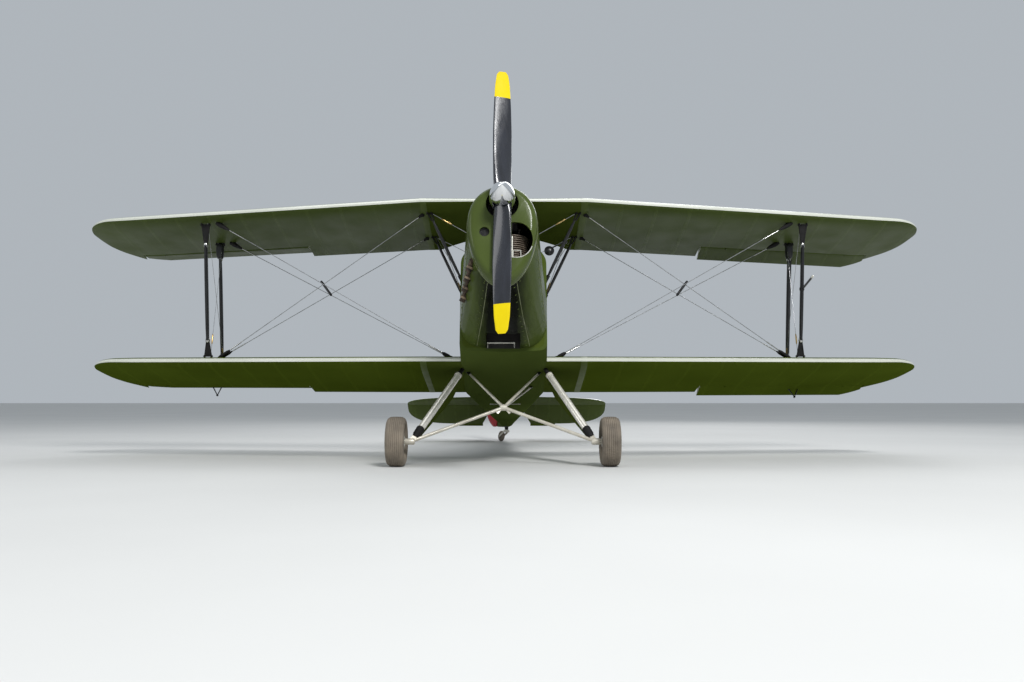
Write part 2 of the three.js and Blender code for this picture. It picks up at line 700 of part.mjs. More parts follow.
// A D-shaped hole: straight on the side by the propeller, rounded outside
function intakeCutter() {
  const { left, right, low, high } = INTAKE;
  const middle = (low + high) / 2;
  const ringAt = (y) => [
    point(left, y, low),
    ...Array.from({ length: 11 }, (_, i) => {
      const angle = -Math.PI / 2 + (Math.PI * i) / 10;
      const reach = right - left - 40;
      const rise = ((high - low) / 2) * Math.sin(angle);
      return point(left + 40 + reach * Math.cos(angle), y, middle + rise);
    }),
    point(left, y, high),
  ];
  return loft([ringAt(BOWL_FRONT_Y - 60), ringAt(-1140)]);
}
const boredAt = (x, z, radius, sides) => bar(point(x, -1260, z), point(x, -1100, z), radius, sides);
const smallIntake = boredAt(-122, 1219, 35, 14);
const shaftRecess = boredAt(0, THRUST_Z - 8, SHAFT_RECESS_RADIUS, 24);
const bowlInner = loft([
  cowlRing({ ...BOWL_STATIONS[0], y: BOWL_JOINT_Y + 10 }, COWL_WALL),
  cowlRing({ ...BOWL_STATIONS[1], y: -1170 }, COWL_WALL),
  cowlRing({ ...BOWL_STATIONS[2], y: -1192 }, COWL_WALL + 6),
]);
const bowlShell = loft(BOWL_STATIONS.map((s) => cowlRing(s)));
const noseBowl = cut(bowlShell, bowlInner, intakeCutter(), smallIntake, shaftRecess);

// The engine: one plain block on two bearers that reach the firewall
const SHAFT_RADIUS = 32;
const ENGINE = { half: 125, front: -1060, rear: -330, low: 920, high: 1500 };
const engineBlock = join(
  block(-ENGINE.half, ENGINE.half, ENGINE.front, ENGINE.rear, ENGINE.low, ENGINE.high),
  ...[-1, 1].map((side) => {
    const x = side * 105;
    return block(x - 20, x + 20, ENGINE.rear - 50, FIREWALL_Y - GAP, 1180, 1230);
  }),
);

// Exhaust stubs along the lower right of the cowl, on one flange strip
const EXHAUST = { count: 4, first: point(-215, -1050, 1045), last: point(-277, -630, 972) };
const STUB = { radius: 22, length: 75, aim: point(-0.4, 0.3, -0.866) };
function exhaustStubs() {
  const { count, first, last } = EXHAUST;
  const seatAt = (t) => between(first, last, t);
  const strip = streamlined(seatAt(-0.14), seatAt(1.14), 30, 60, 8);
  const stubs = Array.from({ length: count }, (_, i) => {
    const root = seatAt(i / (count - 1));
    return bar(root, root.clone().addScaledVector(STUB.aim, STUB.length), STUB.radius, 10);
  });
  const shell = loft(COWL_STATIONS.map((s) => cowlRing(s, -GAP)));
  return largest(cut(join(strip, ...stubs), shell));
}

// Propeller: two blades on a hub, with the shaft behind it
const PROPELLER_Y = -1290;
// distance from the hub, chord, thickness, angle of the chord to the disc
const BLADE_STATIONS = [
  { r: 0, chord: 118, thick: 78, pitch: 42 },
  { r: 110, chord: 150, thick: 56, pitch: 38 },
  { r: 300, chord: 148, thick: 30, pitch: 30 },
  { r: 500, chord: 141, thick: 20, pitch: 23 },
  { r: 700, chord: 126, thick: 14, pitch: 18 },
  { r: 860, chord: 108, thick: 9, pitch: 15 },
  { r: 950, chord: 84, thick: 6, pitch: 14 },
  { r: 975, chord: 50, thick: 4, pitch: 14 },
];
const BLADE_POINTS = 12;
function bladeRing({ r, chord, thick, pitch }) {
  const angle = radians(pitch);
  return Array.from({ length: BLADE_POINTS }, (_, i) => {
    const turn = (2 * Math.PI * i) / BLADE_POINTS;
    const across = (chord / 2) * Math.cos(turn);
    const through = (thick / 2) * Math.sin(turn);
    return point(
      across * Math.cos(angle) + through * Math.sin(angle),
      PROPELLER_Y + across * Math.sin(angle) - through * Math.cos(angle),
      THRUST_Z + r,
    );
  });
}
const SPINNER = { radius: 94, back: -1236, tip: -1500 };
const HUB = { radius: 62, back: -1232, front: -1345 };
const upperBlade = loft(BLADE_STATIONS.map(bladeRing));
const lowerBlade = moved(
  moved(upperBlade, 0, -PROPELLER_Y, -THRUST_Z).rotateY(Math.PI), 0, PROPELLER_Y, THRUST_Z);
const onThrustLine = (from, to, radius, sides) =>
  bar(point(0, from, THRUST_Z), point(0, to, THRUST_Z), radius, sides);
const hub = onThrustLine(HUB.back, HUB.front, HUB.radius, 20);
const backPlate = onThrustLine(HUB.back, SPINNER.back + GAP, SPINNER.radius - 6, 24);
const shaft = onThrustLine(ENGINE.front - GAP, HUB.back - 5, SHAFT_RADIUS, 16);
const propeller = join(hub, backPlate, shaft, upperBlade, lowerBlade);

const spinnerProfile = [
  [SPINNER.back, 0], [SPINNER.back, SPINNER.radius], [-1290, 90], [-1350, 78], [-1410, 58],
  [-1460, 34], [-1490, 13], [SPINNER.tip, 0],
];
const spinner = cut(
  turnedAboutY(spinnerProfile, 24).translate(0, 0, THRUST_Z),
  onThrustLine(SPINNER.back + 10, HUB.front - 4, HUB.radius + 3, 20),
  block(-66, 66, PROPELLER_Y - 58, SPINNER.back + 10, THRUST_Z - 200, THRUST_Z + 200),
);

// Undercarriage
const WHEEL = { radius: 190, width: 146, x: 817, bore: 16 };
const AXLE_RADIUS = 15;
const LEG = { top: point(325, 425, 715), bottomX: 690, tube: 27 };
const APEX = point(0, 230, 320);
const WHEEL_SEGMENTS = 28;
const FACET_DOWN = PARKED_ANGLE + Math.PI / WHEEL_SEGMENTS;

const TYRE_PROFILE = [
  [-0.3, 0.57], [-0.44, 0.66], [-0.5, 0.79], [-0.45, 0.91], [-0.28, 0.985], [0, 1],
  [0.28, 0.985], [0.45, 0.91], [0.5, 0.79], [0.44, 0.66], [0.3, 0.57],
];
function tyre() {
  const rows = TYRE_PROFILE.map(([across, out]) => [across * WHEEL.width, out * WHEEL.radius]);
  return turnedAboutX([...rows, rows[0]], WHEEL_SEGMENTS).rotateX(FACET_DOWN).translate(WHEEL.x, 0, 0);
}
function rim() {
  const lip = 0.57 * WHEEL.radius - GAP;
  const rows = [
    [-62, WHEEL.bore], [-62, 42], [-30, 46], [-26, lip - 14], [-0.3 * WHEEL.width - 6, lip - 6],
    [-0.3 * WHEEL.width - 6, lip], [0.3 * WHEEL.width + 6, lip], [0.3 * WHEEL.width + 6, lip - 6],
    [26, lip - 14], [30, 46], [62, 42], [62, WHEEL.bore], [-62, WHEEL.bore],
  ];
  return turnedAboutX(rows, WHEEL_SEGMENTS).rotateX(FACET_DOWN).translate(WHEEL.x, 0, 0);
}
const axleEnd = point(WHEEL.x + 66, 0, 0);
const knuckle = point(LEG.bottomX + 18, 0, 0);
const legBottom = point(LEG.bottomX, 0, 16);

// The half axle: a tube from the apex to the knuckle, and the stub axle in the wheel
const APEX_HALF = 25;
const halfAxle = join(
  cut(bar(APEX, knuckle, 13, 10), block(-100, APEX_HALF + GAP, 0, 400, 200, 400)),
  bar(point(LEG.bottomX - 14, 0, 0), point(WHEEL.x - 66, 0, 0), 24, 12),
  bar(point(LEG.bottomX, 0, 0), axleEnd, AXLE_RADIUS, 16),
  bar(point(WHEEL.x + 63.2, 0, 0), point(WHEEL.x + 74, 0, 0), 26, 12),
);

// The leg: a round tube with a tapered fairing behind it
const FAIRING = [
  { t: 0.06, chord: 150 }, { t: 0.3, chord: 390 }, { t: 0.93, chord: 175 },
];
function gearLeg() {
  const tube = bar(legBottom, LEG.top, LEG.tube, 12, LEG.tube * 0.75);
  const rings = FAIRING.map(({ t, chord }) => {
    const centre = between(LEG.top, legBottom, t);
    const half = 15;
    return [
      centre.clone().add(point(-half, 0, 0)), centre.clone().add(point(half, 0, 0)),
      centre.clone().add(point(half * 0.8, chord * 0.5, 0)), centre.clone().add(point(1.5, chord, 0)),
      centre.clone().add(point(-1.5, chord, 0)), centre.clone().add(point(-half * 0.8, chord * 0.5, 0)),
    ];
  });
  return largest(cut(
    join(tube, loft(rings)),
    ...withShifts(fuselageBody, [0, 0, -GAP], [GAP, 0, 0]),
    ...withShifts(lowerStub, [0, 0, -GAP]),
    ...withShifts(halfAxle, [0, 0, GAP], [-GAP, 0, 0], [GAP, 0, 0]),
  ));
}

// The pyramid: three tubes that hold the apex below the belly
const PYRAMID_RADIUS = 9;
const pyramid = (() => {
  const body = moved(fuselageBody, 0, 0, -GAP);
  const foot = bar(
    APEX.clone().add(point(-APEX_HALF, 0, 0)), APEX.clone().add(point(APEX_HALF, 0, 0)), 27, 12);
  const feet = [point(318, 480, 700), point(-318, 480, 700), point(250, 980, 745)];
  return largest(cut(join(foot, ...feet.map((p) => bar(APEX, p, PYRAMID_RADIUS, 8))), body));
})();

// Struts and wires between the wings
const STRUT = { x: 2560, chord: 58, width: 26 };
const insideWing = (wing, x, share) => onChord(wing, x, share, camber(share) * CHORD);
const wingCutters = (gap) => [moved(upperWing, 0, 0, -gap), moved(lowerWing, 0, 0, gap)];
const centreCutter = moved(centreSection, 0, 0, -GAP);

function interplaneStrut(share) {
  const low = insideWing(LOWER, STRUT.x, share);
  const high = insideWing(UPPER, STRUT.x, share);
  return largest(cut(streamlined(low, high, STRUT.chord, STRUT.width, 12), ...wingCutters(GAP)));
}

const CABANE = { topX: 620, lowX: 352, lowZ: 1404 };
const CABANE_FEET = { front: [INNER_SPARS.front, 230], rear: [INNER_SPARS.rear, 700] };
function cabaneStrut([share, lowY]) {
  const high = insideWing(UPPER, JOINT_X, share).setX(CABANE.topX);
  const low = point(CABANE.lowX - 10, lowY, CABANE.lowZ - 40);
  const deck = withShifts(deckOuter, [GAP, 0, 0], [0, 0, GAP]);
  const body = withShifts(fuselageBody, [GAP, 0, 0]);
  return largest(cut(streamlined(low, high, 50, 26, 10), centreCutter, ...deck, ...body));
}

const WIRE_RADIUS = 4;
const WIRE_OUT_X = { flying: 2460, landing: 2490 };
const ROOT_FITTING = point(437, 440, 715);
function wirePair(meet, ends, cutters) {
  const lugs = bar(meet.clone().add(point(0, -14, 0)), meet.clone().add(point(0, 14, 0)), 14, 8);
  const wires = ends.map((end, i) => bar(meet.clone().add(point(0, (i - 0.5) * 16, 0)), end, WIRE_RADIUS, 6));
  return largest(cut(join(lugs, ...wires), ...cutters));
}
const stubCutter = moved(lowerStub, 0, 0, GAP);
const flyingWires = wirePair(
  ROOT_FITTING.clone().setZ(onChord(LOWER, JOINT_X, INNER_SPARS.front).z + 62),
  Object.values(OUTER_SPARS).map((share) => insideWing(UPPER, WIRE_OUT_X.flying, share)),
  [...wingCutters(GAP), stubCutter],
);
const LANDING_TOP_SHIFT = point(-15, 30, 0);
const landingFoot = insideWing(LOWER, WIRE_OUT_X.landing, OUTER_SPARS.front).add(point(0, 40, 40));
const landingWires = wirePair(
  landingFoot,
  Object.values(INNER_SPARS).map((share) => insideWing(UPPER, JOINT_X, share).add(LANDING_TOP_SHIFT)),
  [...wingCutters(GAP), centreCutter],
);

// Tail
const TAIL = { z: 1345, hingeY: 4450, half: 23, reach: 80 };
const ELEVATOR = {
  noseRadius: 19, gap: 9, down: radians(23), brackets: [-900, -330, 330, 900], torque: 15,
  innerFront: 190, innerRear: 305,
};
// x, place of the leading edge, place of the trailing edge
const STABILISER_STATIONS = [
  { x: 0, front: 4070, rear: 4870 },
  { x: 508, front: 4090, rear: 4870 },
  { x: 864, front: 4140, rear: 4860 },
  { x: 1068, front: 4210, rear: 4805 },
  { x: 1170, front: 4300, rear: 4720 },
  { x: 1210, front: 4380, rear: 4640 },
  { x: 1220, front: 4440, rear: 4580 },
];
function tailRing(x, front, rear, half) {
  const shape = [[0, 0], [0.06, 0.6], [0.2, 0.95], [0.45, 1], [0.75, 0.6], [1, 0.08]];
  const at = ([t, h], sign) => point(x, mix(front, rear, t), TAIL.z + sign * h * half);
  return [...shape.map((s) => at(s, 1)), ...shape.slice(1).reverse().map((s) => at(s, -1))];
}
const tailPlate = (() => {
  const rows = STABILISER_STATIONS.map(({ x, front, rear }) => {
    const half = TAIL.half * Math.min(1, (rear - front) / 500);
    return tailRing(x, front, rear, half);
  });
  const other = rows.slice(1).reverse().map((ring) => ring.map((p) => point(-p.x, p.y, p.z)));
  return loft([...other, ...rows]);
})();
const elevatorFrame = hingeFrame(point(0, TAIL.hingeY, TAIL.z), point(1, TAIL.hingeY, TAIL.z));
const elevatorReach = ELEVATOR.noseRadius + ELEVATOR.gap;
const [belowTail, aboveTail] = [TAIL.z - TAIL.reach, TAIL.z + TAIL.reach];
const aroundTail = (from, to) => block(-1300, 1300, from, to, belowTail, aboveTail);
const stabiliser = join(
  cut(tailPlate, aroundTail(TAIL.hingeY - elevatorReach, 5000)),
  ...hingeBrackets(elevatorFrame, ELEVATOR.brackets, elevatorReach + 6, 16),
);
function elevatorHalf() {
  const area = [
    [ELEVATOR.innerFront, TAIL.hingeY - 100], [1300, TAIL.hingeY - 100], [1300, 5000],
    [ELEVATOR.innerRear + 36, 5000], [ELEVATOR.innerFront, TAIL.hingeY + 60],
  ];
  const mask = loft([belowTail, aboveTail].map((z) => area.map(([x, y]) => point(x, y, z))));
  const flap = cut(tailPlate, aroundTail(4000, TAIL.hingeY));
  const nose = bar(point(ELEVATOR.innerFront, TAIL.hingeY, TAIL.z), point(1198, TAIL.hingeY, TAIL.z),
    ELEVATOR.noseRadius, 16, 14);
  return join(overlap(flap, mask), nose);
}
const elevator = (() => {
  const half = elevatorHalf();
  const tubeEnd = (x) => point(x, TAIL.hingeY, TAIL.z);
  const tube = bar(tubeEnd(-240), tubeEnd(240), ELEVATOR.torque, 12);
  const whole = join(half, mirrored(half), tube);
  const slots = hingeSlots(elevatorFrame, ELEVATOR.brackets, 50, 16);
  return turnedAbout(cut(whole, ...slots), elevatorFrame, -ELEVATOR.down);
})();

// Fin and rudder: outlines in the side view, extruded across
function sidePlate(outline, half) {
  const ringAt = (x) => outline.map(([y, z]) => point(x, y, z));
  return loft([ringAt(-half), ringAt(half)]);
}
const RUDDER = { hingeY: 4560, half: 17, rest: radians(30), brackets: [-1100, -1470, -1880] };
const FIN_POST_Y = 4505;
const arc = (cy, cz, ry, rz, from, to, steps) => Array.from({ length: steps + 1 }, (_, i) => {
  const angle = radians(mix(from, to, i / steps));
  return [cy + ry * Math.cos(angle), cz + rz * Math.sin(angle)];
});
const rudderFrame = (() => {
  const origin = point(0, RUDDER.hingeY, 0);
  const along = point(0, 0, -1);
  const aft = point(0, 1, 0);
  const up = along.clone().cross(aft);
  return { origin, along, matrix: new THREE.Matrix4().makeBasis(along, aft, up).setPosition(origin) };
})();
const FIN_BASE = TAIL.z + TAIL.half + GAP;
const FIN_POST_LOW = TAIL.z + 65;
const fin = (() => {
  const outline = [
    [3960, FIN_BASE], [4420, FIN_BASE], [4420, FIN_POST_LOW], [FIN_POST_Y, FIN_POST_LOW],
    [FIN_POST_Y, 1930],
    ...arc(4480, 1700, 330, 232, 95, 150, 6),
  ];
  const brackets = RUDDER.brackets.slice(1);
  const deck = withShifts(turtledeck, [0, 0, GAP], [0, GAP, 0], [0, GAP, GAP]);
  const plate = largest(cut(sidePlate(outline, 20), ...deck));
  return join(plate, ...hingeBrackets(rudderFrame, brackets, RUDDER.hingeY - FIN_POST_Y + 6, 16));
})();
const rudder = (() => {
  const outline = [
    [RUDDER.hingeY, 1078],
    ...arc(4700, 1560, 420, 470, -62, 80, 12),
    [RUDDER.hingeY, 2030],
  ];
  const nose = bar(point(0, RUDDER.hingeY, 1078), point(0, RUDDER.hingeY, 2030), 20, 16);
  const slots = hingeSlots(rudderFrame, RUDDER.brackets, 50, 16);
  const elevatorSpace = block(-60, 60, 4400, RUDDER.hingeY - 17, belowTail, TAIL.z + 55);
  const blade = cut(join(sidePlate(outline, RUDDER.half), nose), ...slots, elevatorSpace);
  return turnedAbout(blade, { origin: point(0, RUDDER.hingeY, 0), along: point(0, 0, 1) }, RUDDER.rest);
})();

// Tail wheel: a post under the belly, a swivelling fork and the wheel, parked with the rudder
const TAIL_WHEEL = { radius: 65, tread: 18, trail: 125, pivotY: 4425, width: 36 };
const TAIL_REST = RUDDER.rest;
const tailPivot = { origin: point(0, TAIL_WHEEL.pivotY, 0), along: point(0, 0, 1) };
const parkedWheelY = TAIL_WHEEL.pivotY + TAIL_WHEEL.trail * Math.cos(TAIL_REST);
const wheelTilt = Math.asin(Math.sin(TAIL_REST) * Math.sin(PARKED_ANGLE));
const wheelDrop = (TAIL_WHEEL.radius - TAIL_WHEEL.tread) * Math.cos(wheelTilt) + TAIL_WHEEL.tread;
const tailRise = parkedWheelY * Math.sin(PARKED_ANGLE);
const tailWheelZ = (wheelDrop - WHEEL.radius + tailRise) / Math.cos(PARKED_ANGLE);
const POST_LOW = 1012;
const tailPost = largest(cut(
  join(
    bar(point(0, TAIL_WHEEL.pivotY, POST_LOW), point(0, TAIL_WHEEL.pivotY, 1080), 20, 14),
    loft([4180, 4440].map((y) => {
      const z = mix(1026, 1052, (y - 4180) / 260) - 26 + (y < 4300 ? 22 : 0);
      return [point(-22, y, z), point(22, y, z), point(22, y, z + 60), point(-22, y, z + 60)];
    })),
  ),
  moved(fuselageBody, 0, 0, -GAP),
));
const tailAxle = point(0, TAIL_WHEEL.pivotY + TAIL_WHEEL.trail, tailWheelZ);
const FORK = { play: 6, plate: 6, crown: 26, axle: 6 };
const tailFork = (() => {
  const half = TAIL_WHEEL.width / 2 + FORK.play;
  const outside = half + FORK.plate;
  const { pivotY } = TAIL_WHEEL;
  const crown = block(-outside, outside, pivotY - 18, pivotY + 20, POST_LOW - FORK.crown, POST_LOW - GAP);
  const bladeEnds = [
    { y: pivotY + 4, z: POST_LOW - FORK.crown / 2, reach: FORK.crown / 2 },
    { y: tailAxle.y, z: tailAxle.z, reach: 12 },
  ];
  const blades = [-1, 1].map((side) => loft(bladeEnds.map(({ y, z, reach }) => {
    const [inner, outer] = [side * half, side * outside];
    return [point(inner, y, z - reach), point(outer, y, z - reach), point(outer, y, z + reach),
      point(inner, y, z + reach)];
  })));
  const axleAt = (x) => tailAxle.clone().add(point(x, 0, 0));
  const axle = bar(axleAt(-half - 4), axleAt(half + 4), FORK.axle, 12);
  return turnedAbout(join(crown, ...blades, axle), tailPivot, TAIL_REST);
})();
const tailWheel = (() => {
  const { radius, tread, width } = TAIL_WHEEL;
  const rows = [
    [-width / 2, 6.8], [-width / 2, radius - 30],
    ...arc(0, radius - tread, tread, tread, 180, 0, 6),
    [width / 2, radius - 30], [width / 2, 6.8], [-width / 2, 6.8],
  ];
  const wheel = turnedAboutX(rows, 20).translate(tailAxle.x, tailAxle.y, tailAxle.z);
  return turnedAbout(wheel, tailPivot, TAIL_REST);
})();

// The assembly
add('nose_bowl', noseBowl, OLIVE);
add('engine_cowl', engineCowl, OLIVE);
add('engine_block', engineBlock, CAST);
add('exhaust_stubs', exhaustStubs(), RUST);
add('propeller', propeller, PROPELLER_GREY);
add('spinner', spinner, POLISHED);

add('fuselage_floor', fuselageFloor, OLIVE);
for (const [side, flip] of SIDES) add(`fuselage_side_${side}`, flip(fuselageSide), OLIVE);
add('cockpit_deck', cockpitDeck, OLIVE);
add('panel_front', panel(FRONT_COCKPIT.front - 16), BLACK);
add('panel_rear', panel(REAR_COCKPIT.front - 16), BLACK);
add('seat_front', seat(1080), LEATHER);
add('seat_rear', seat(1960), LEATHER);
add('windscreen_front', windscreen(250, 1610), GLASS);
add('windscreen_rear', windscreen(1185, 1625), GLASS);
add('rear_fuselage', rearFuselage, OLIVE);
add('turtledeck', turtledeck, OLIVE);

add('upper_centre_section', centreSection, OLIVE);
for (const [side, flip, sign] of SIDES) {
  add(`upper_wing_${side}`, flip(upperWing), OLIVE);
  add(`lower_wing_${side}`, flip(lowerWing), OLIVE);
  add(`lower_stub_${side}`, flip(lowerStub), OLIVE);
  const rest = -sign * AILERON.rest;
  add(`aileron_upper_${side}`, flip(aileron(UPPER, rest)), OLIVE);
  add(`aileron_lower_${side}`, flip(aileron(LOWER, rest)), OLIVE);
  add(`aileron_rod_${side}`, flip(linkRod(rest)), STEEL);
  add(`strut_front_${side}`, flip(interplaneStrut(OUTER_SPARS.front)), BLACK);
  add(`strut_rear_${side}`, flip(interplaneStrut(OUTER_SPARS.rear)), BLACK);
  add(`cabane_front_${side}`, flip(cabaneStrut(CABANE_FEET.front)), BLACK);
  add(`cabane_rear_${side}`, flip(cabaneStrut(CABANE_FEET.rear)), BLACK);
  add(`flying_wires_${side}`, flip(flyingWires), STEEL);
  add(`landing_wires_${side}`, flip(landingWires), STEEL);
  add(`gear_leg_${side}`, flip(gearLeg()), SILVER);
  add(`half_axle_${side}`, flip(halfAxle), CREAM);
  add(`rim_${side}`, flip(rim()), CREAM);
  add(`tyre_${side}`, flip(tyre()), TYRE);
}
add('gear_pyramid', pyramid, CREAM);

add('stabiliser', stabiliser, DARK_OLIVE);
add('elevator', elevator, DARK_OLIVE);
add('fin', fin, OLIVE);
add('rudder', rudder, OLIVE);
add('tail_post', tailPost, BLACK);
add('tail_fork', tailFork, CREAM);
add('tail_wheel', tailWheel, TYRE);

// Stand it on its wheels, with the origin at the bottom centre of its box
const biplane = new THREE.Group();
biplane.name = 'biplane';
biplane.add(airframe);
biplane.updateMatrixWorld(true);
const extent = new THREE.Box3().setFromObject(biplane, true);
airframe.position.set(0, -(extent.min.y + extent.max.y) / 2, -extent.min.z);
biplane.updateMatrixWorld(true);

export default biplane;
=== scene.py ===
"""The looks of a two-seat training biplane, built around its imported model.

Metres. Shapes are drawn in the level frame: +X to the aircraft's left, +Y aft, +Z up, with the
origin at the middle of the main axle line. LEVEL turns them nose-up onto the parked model.
"""

import math

import bmesh
import bpy
import numpy as np
from mathutils import Matrix, Vector


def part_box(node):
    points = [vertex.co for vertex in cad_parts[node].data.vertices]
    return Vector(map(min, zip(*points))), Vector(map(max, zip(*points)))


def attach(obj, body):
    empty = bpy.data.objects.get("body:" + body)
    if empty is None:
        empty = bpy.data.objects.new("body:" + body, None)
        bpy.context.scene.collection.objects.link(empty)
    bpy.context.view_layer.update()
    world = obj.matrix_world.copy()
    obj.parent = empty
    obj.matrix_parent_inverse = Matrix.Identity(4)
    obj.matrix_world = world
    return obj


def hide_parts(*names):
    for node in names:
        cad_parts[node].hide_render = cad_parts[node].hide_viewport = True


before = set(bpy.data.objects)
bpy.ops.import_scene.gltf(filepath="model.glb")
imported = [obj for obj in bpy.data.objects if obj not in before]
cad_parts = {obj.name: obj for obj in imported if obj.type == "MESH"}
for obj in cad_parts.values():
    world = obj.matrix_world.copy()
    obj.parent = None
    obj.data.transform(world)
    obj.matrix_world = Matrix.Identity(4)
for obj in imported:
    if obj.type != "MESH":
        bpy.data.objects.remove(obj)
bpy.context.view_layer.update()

# The level frame
PARKED_ANGLE = math.radians(13.5)
low_corner, high_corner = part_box("tyre_left")
AXLE = (low_corner + high_corner) / 2
AXLE.x = 0
LEVEL = Matrix.Translation(AXLE) @ Matrix.Rotation(-PARKED_ANGLE, 4, "X")
LEVEL_UP = (LEVEL.to_3x3() @ Vector((0, 0, 1))).normalized()
SIDES = (("left", 1), ("right", -1))
SMOOTH_ANGLE = math.radians(32)


# Camera at the photograph's place
CAMERA = {"from_axle": Vector((0.067, -7.650, 0.3175)), "pitch": math.radians(3.39), "lens": 35,
          "sensor": 36, "reach": 400}
camera_data = bpy.data.cameras.new("camera")
camera_data.lens = CAMERA["lens"]
camera_data.sensor_width = CAMERA["sensor"]
camera_data.clip_end = CAMERA["reach"]
camera = bpy.data.objects.new("camera", camera_data)
camera.location = AXLE + CAMERA["from_axle"]
camera.rotation_euler = (math.pi / 2 + CAMERA["pitch"], 0, 0)
bpy.context.scene.collection.objects.link(camera)
bpy.context.scene.camera = camera
bpy.context.scene.view_settings.view_transform = "Standard"


# Materials
class Finish:
    """A procedural material on one Principled shader. Patterns follow the row frame."""

    def __init__(self, name, **sockets):
        self.material = bpy.data.materials.new(name)
        self.material.use_nodes = True
        self.tree = self.material.node_tree
        self.shader = self.tree.nodes["Principled BSDF"]
        for key, value in sockets.items():
            socket = self.shader.inputs[key.replace("_", " ").title().replace("Ior", "IOR")]
            socket.default_value = (*value, 1) if isinstance(value, tuple) else value
        self.place = self.node("TexCoord").outputs["Object"]
        self.height = None

    def node(self, kind, links=(), **values):
        made = self.tree.nodes.new("ShaderNode" + kind)
        for key, value in values.items():
            setattr(made, key, value)
        for socket, value in links:
            target = made.inputs[socket]
            if isinstance(value, bpy.types.NodeSocket):
                self.tree.links.new(value, target)
            else:
                target.default_value = value
        return made

    def stretched(self, scale):
        mapped = self.node("Mapping", [("Vector", self.place), ("Scale", scale)])
        return mapped.outputs["Vector"]

    def noise(self, scale, detail=3, stretch=(1, 1, 1)):
        links = [("Vector", self.stretched(stretch)), ("Scale", scale), ("Detail", detail)]
        return self.node("TexNoise", links).outputs["Fac"]

    def math(self, operation, a, b=0.0):
        return self.node("Math", [(0, a), (1, b)], operation=operation).outputs[0]

    def spread(self, value, low, high, new_low=0.0, new_high=1.0):
        links = [("Value", value), ("From Min", low), ("From Max", high),
                 ("To Min", new_low), ("To Max", new_high)]
        return self.node("MapRange", links, clamp=True).outputs["Result"]

    def mix(self, factor, a, b):
        made = self.node("Mix", data_type="RGBA")
        for socket, value in ((0, factor), (6, a), (7, b)):
            if isinstance(value, bpy.types.NodeSocket):
                self.tree.links.new(value, made.inputs[socket])
            else:
                made.inputs[socket].default_value = (*value, 1) if isinstance(value, tuple) else value
        return made.outputs[2]

    def along(self, direction):
        """The place along a direction of the row frame."""
        links = [(0, self.place), (1, direction)]
        return self.node("VectorMath", links, operation="DOT_PRODUCT").outputs["Value"]

    def band(self, value, pitch, offset, half_width):
        """1 on a band of the given half width at each pitch, else 0, with soft edges."""
        turns = self.math("DIVIDE", self.math("SUBTRACT", value, offset - pitch / 2), pitch)
        away = self.math("ABSOLUTE", self.math("SUBTRACT", self.math("FRACT", turns), 0.5))
        edge = half_width / pitch
        return self.spread(away, edge * 0.8, edge, 1.0, 0.0)

    def colour(self, socket):
        self.tree.links.new(socket, self.shader.inputs["Base Color"])

    def mottled(self, scale, dark, light, detail=5, stretch=(1, 1, 1), edges=(0.3, 0.7)):
        """A colour that drifts between two tones in patches."""
        return self.mix(self.spread(self.noise(scale, detail, stretch), *edges), dark, light)

    def uneven_gloss(self, scale, rough, detail=4, stretch=(1, 1, 1), edges=(0.3, 0.7)):
        """Roughness that drifts between two values."""
        drift = self.spread(self.noise(scale, detail, stretch), *edges, *rough)
        self.tree.links.new(drift, self.shader.inputs["Roughness"])

    def bump(self, height, distance):
        links = [("Height", height), ("Distance", distance), ("Strength", 1.0)]
        if self.height is not None:
            links.append(("Normal", self.height))
        self.height = self.node("Bump", links).outputs["Normal"]
        self.tree.links.new(self.height, self.shader.inputs["Normal"])


def worn(name, light, dark, patch, rough, grain, depth, stretch=(1, 1, 1), **sockets):
    """Paint or metal: two tones in patches, uneven gloss, and a fine grain in relief."""
    made = Finish(name, **sockets)
    made.colour(made.mottled(patch, dark, light, stretch=stretch, edges=(0.32, 0.68)))
    made.uneven_gloss(patch * 2.7, rough, stretch=stretch)
    made.bump(made.noise(grain, 3, stretch), depth)
    return made.material


OLIVE = (0.068, 0.094, 0.022)
OLIVE_SHADE = (0.050, 0.070, 0.015)
COWL_BOTTOM_SHADE = (0.003, 0.004, 0.002)
RIB_PITCH = 0.29
TAPE = {"half_width": 0.016, "show": 0.40, "lighter": 1.09, "height": 0.0007}
STITCH = {"share": 0.22, "pitch": 0.055, "half_width": 0.010, "height": 0.0012, "run": (0, 0.97, 0.23)}
ACROSS, AFT = (1, 0, 0), (0, 0.972, 0.233)


def doped_fabric(name, direction, offset, pitch=RIB_PITCH, gloss=0.03, tint=(1, 1, 1)):
    """Doped fabric: weave, pinked tapes over the ribs, and stitches under the tapes."""
    made = Finish(name, specular_ior_level=gloss)
    across = made.along(direction)
    tape = made.band(across, pitch, offset, TAPE["half_width"])
    rib = made.band(across, pitch, offset, TAPE["half_width"] * STITCH["share"])
    stitch = made.band(made.along(STITCH["run"]), STITCH["pitch"], 0.0, STITCH["half_width"])
    dark, light = (tuple(c * k for c, k in zip(tone, tint)) for tone in (OLIVE_SHADE, OLIVE))
    lighter = tuple(c * TAPE["lighter"] for c in light)
    cover = made.math("MULTIPLY", tape, TAPE["show"])
    made.colour(made.mix(cover, made.mottled(1.3, dark, light), lighter))
    made.uneven_gloss(4.5, (0.34, 0.50))
    made.bump(made.noise(700, 2), 0.00012)
    made.bump(tape, TAPE["height"])
    made.bump(made.math("MULTIPLY", rib, stitch), STITCH["height"])
    return made.material


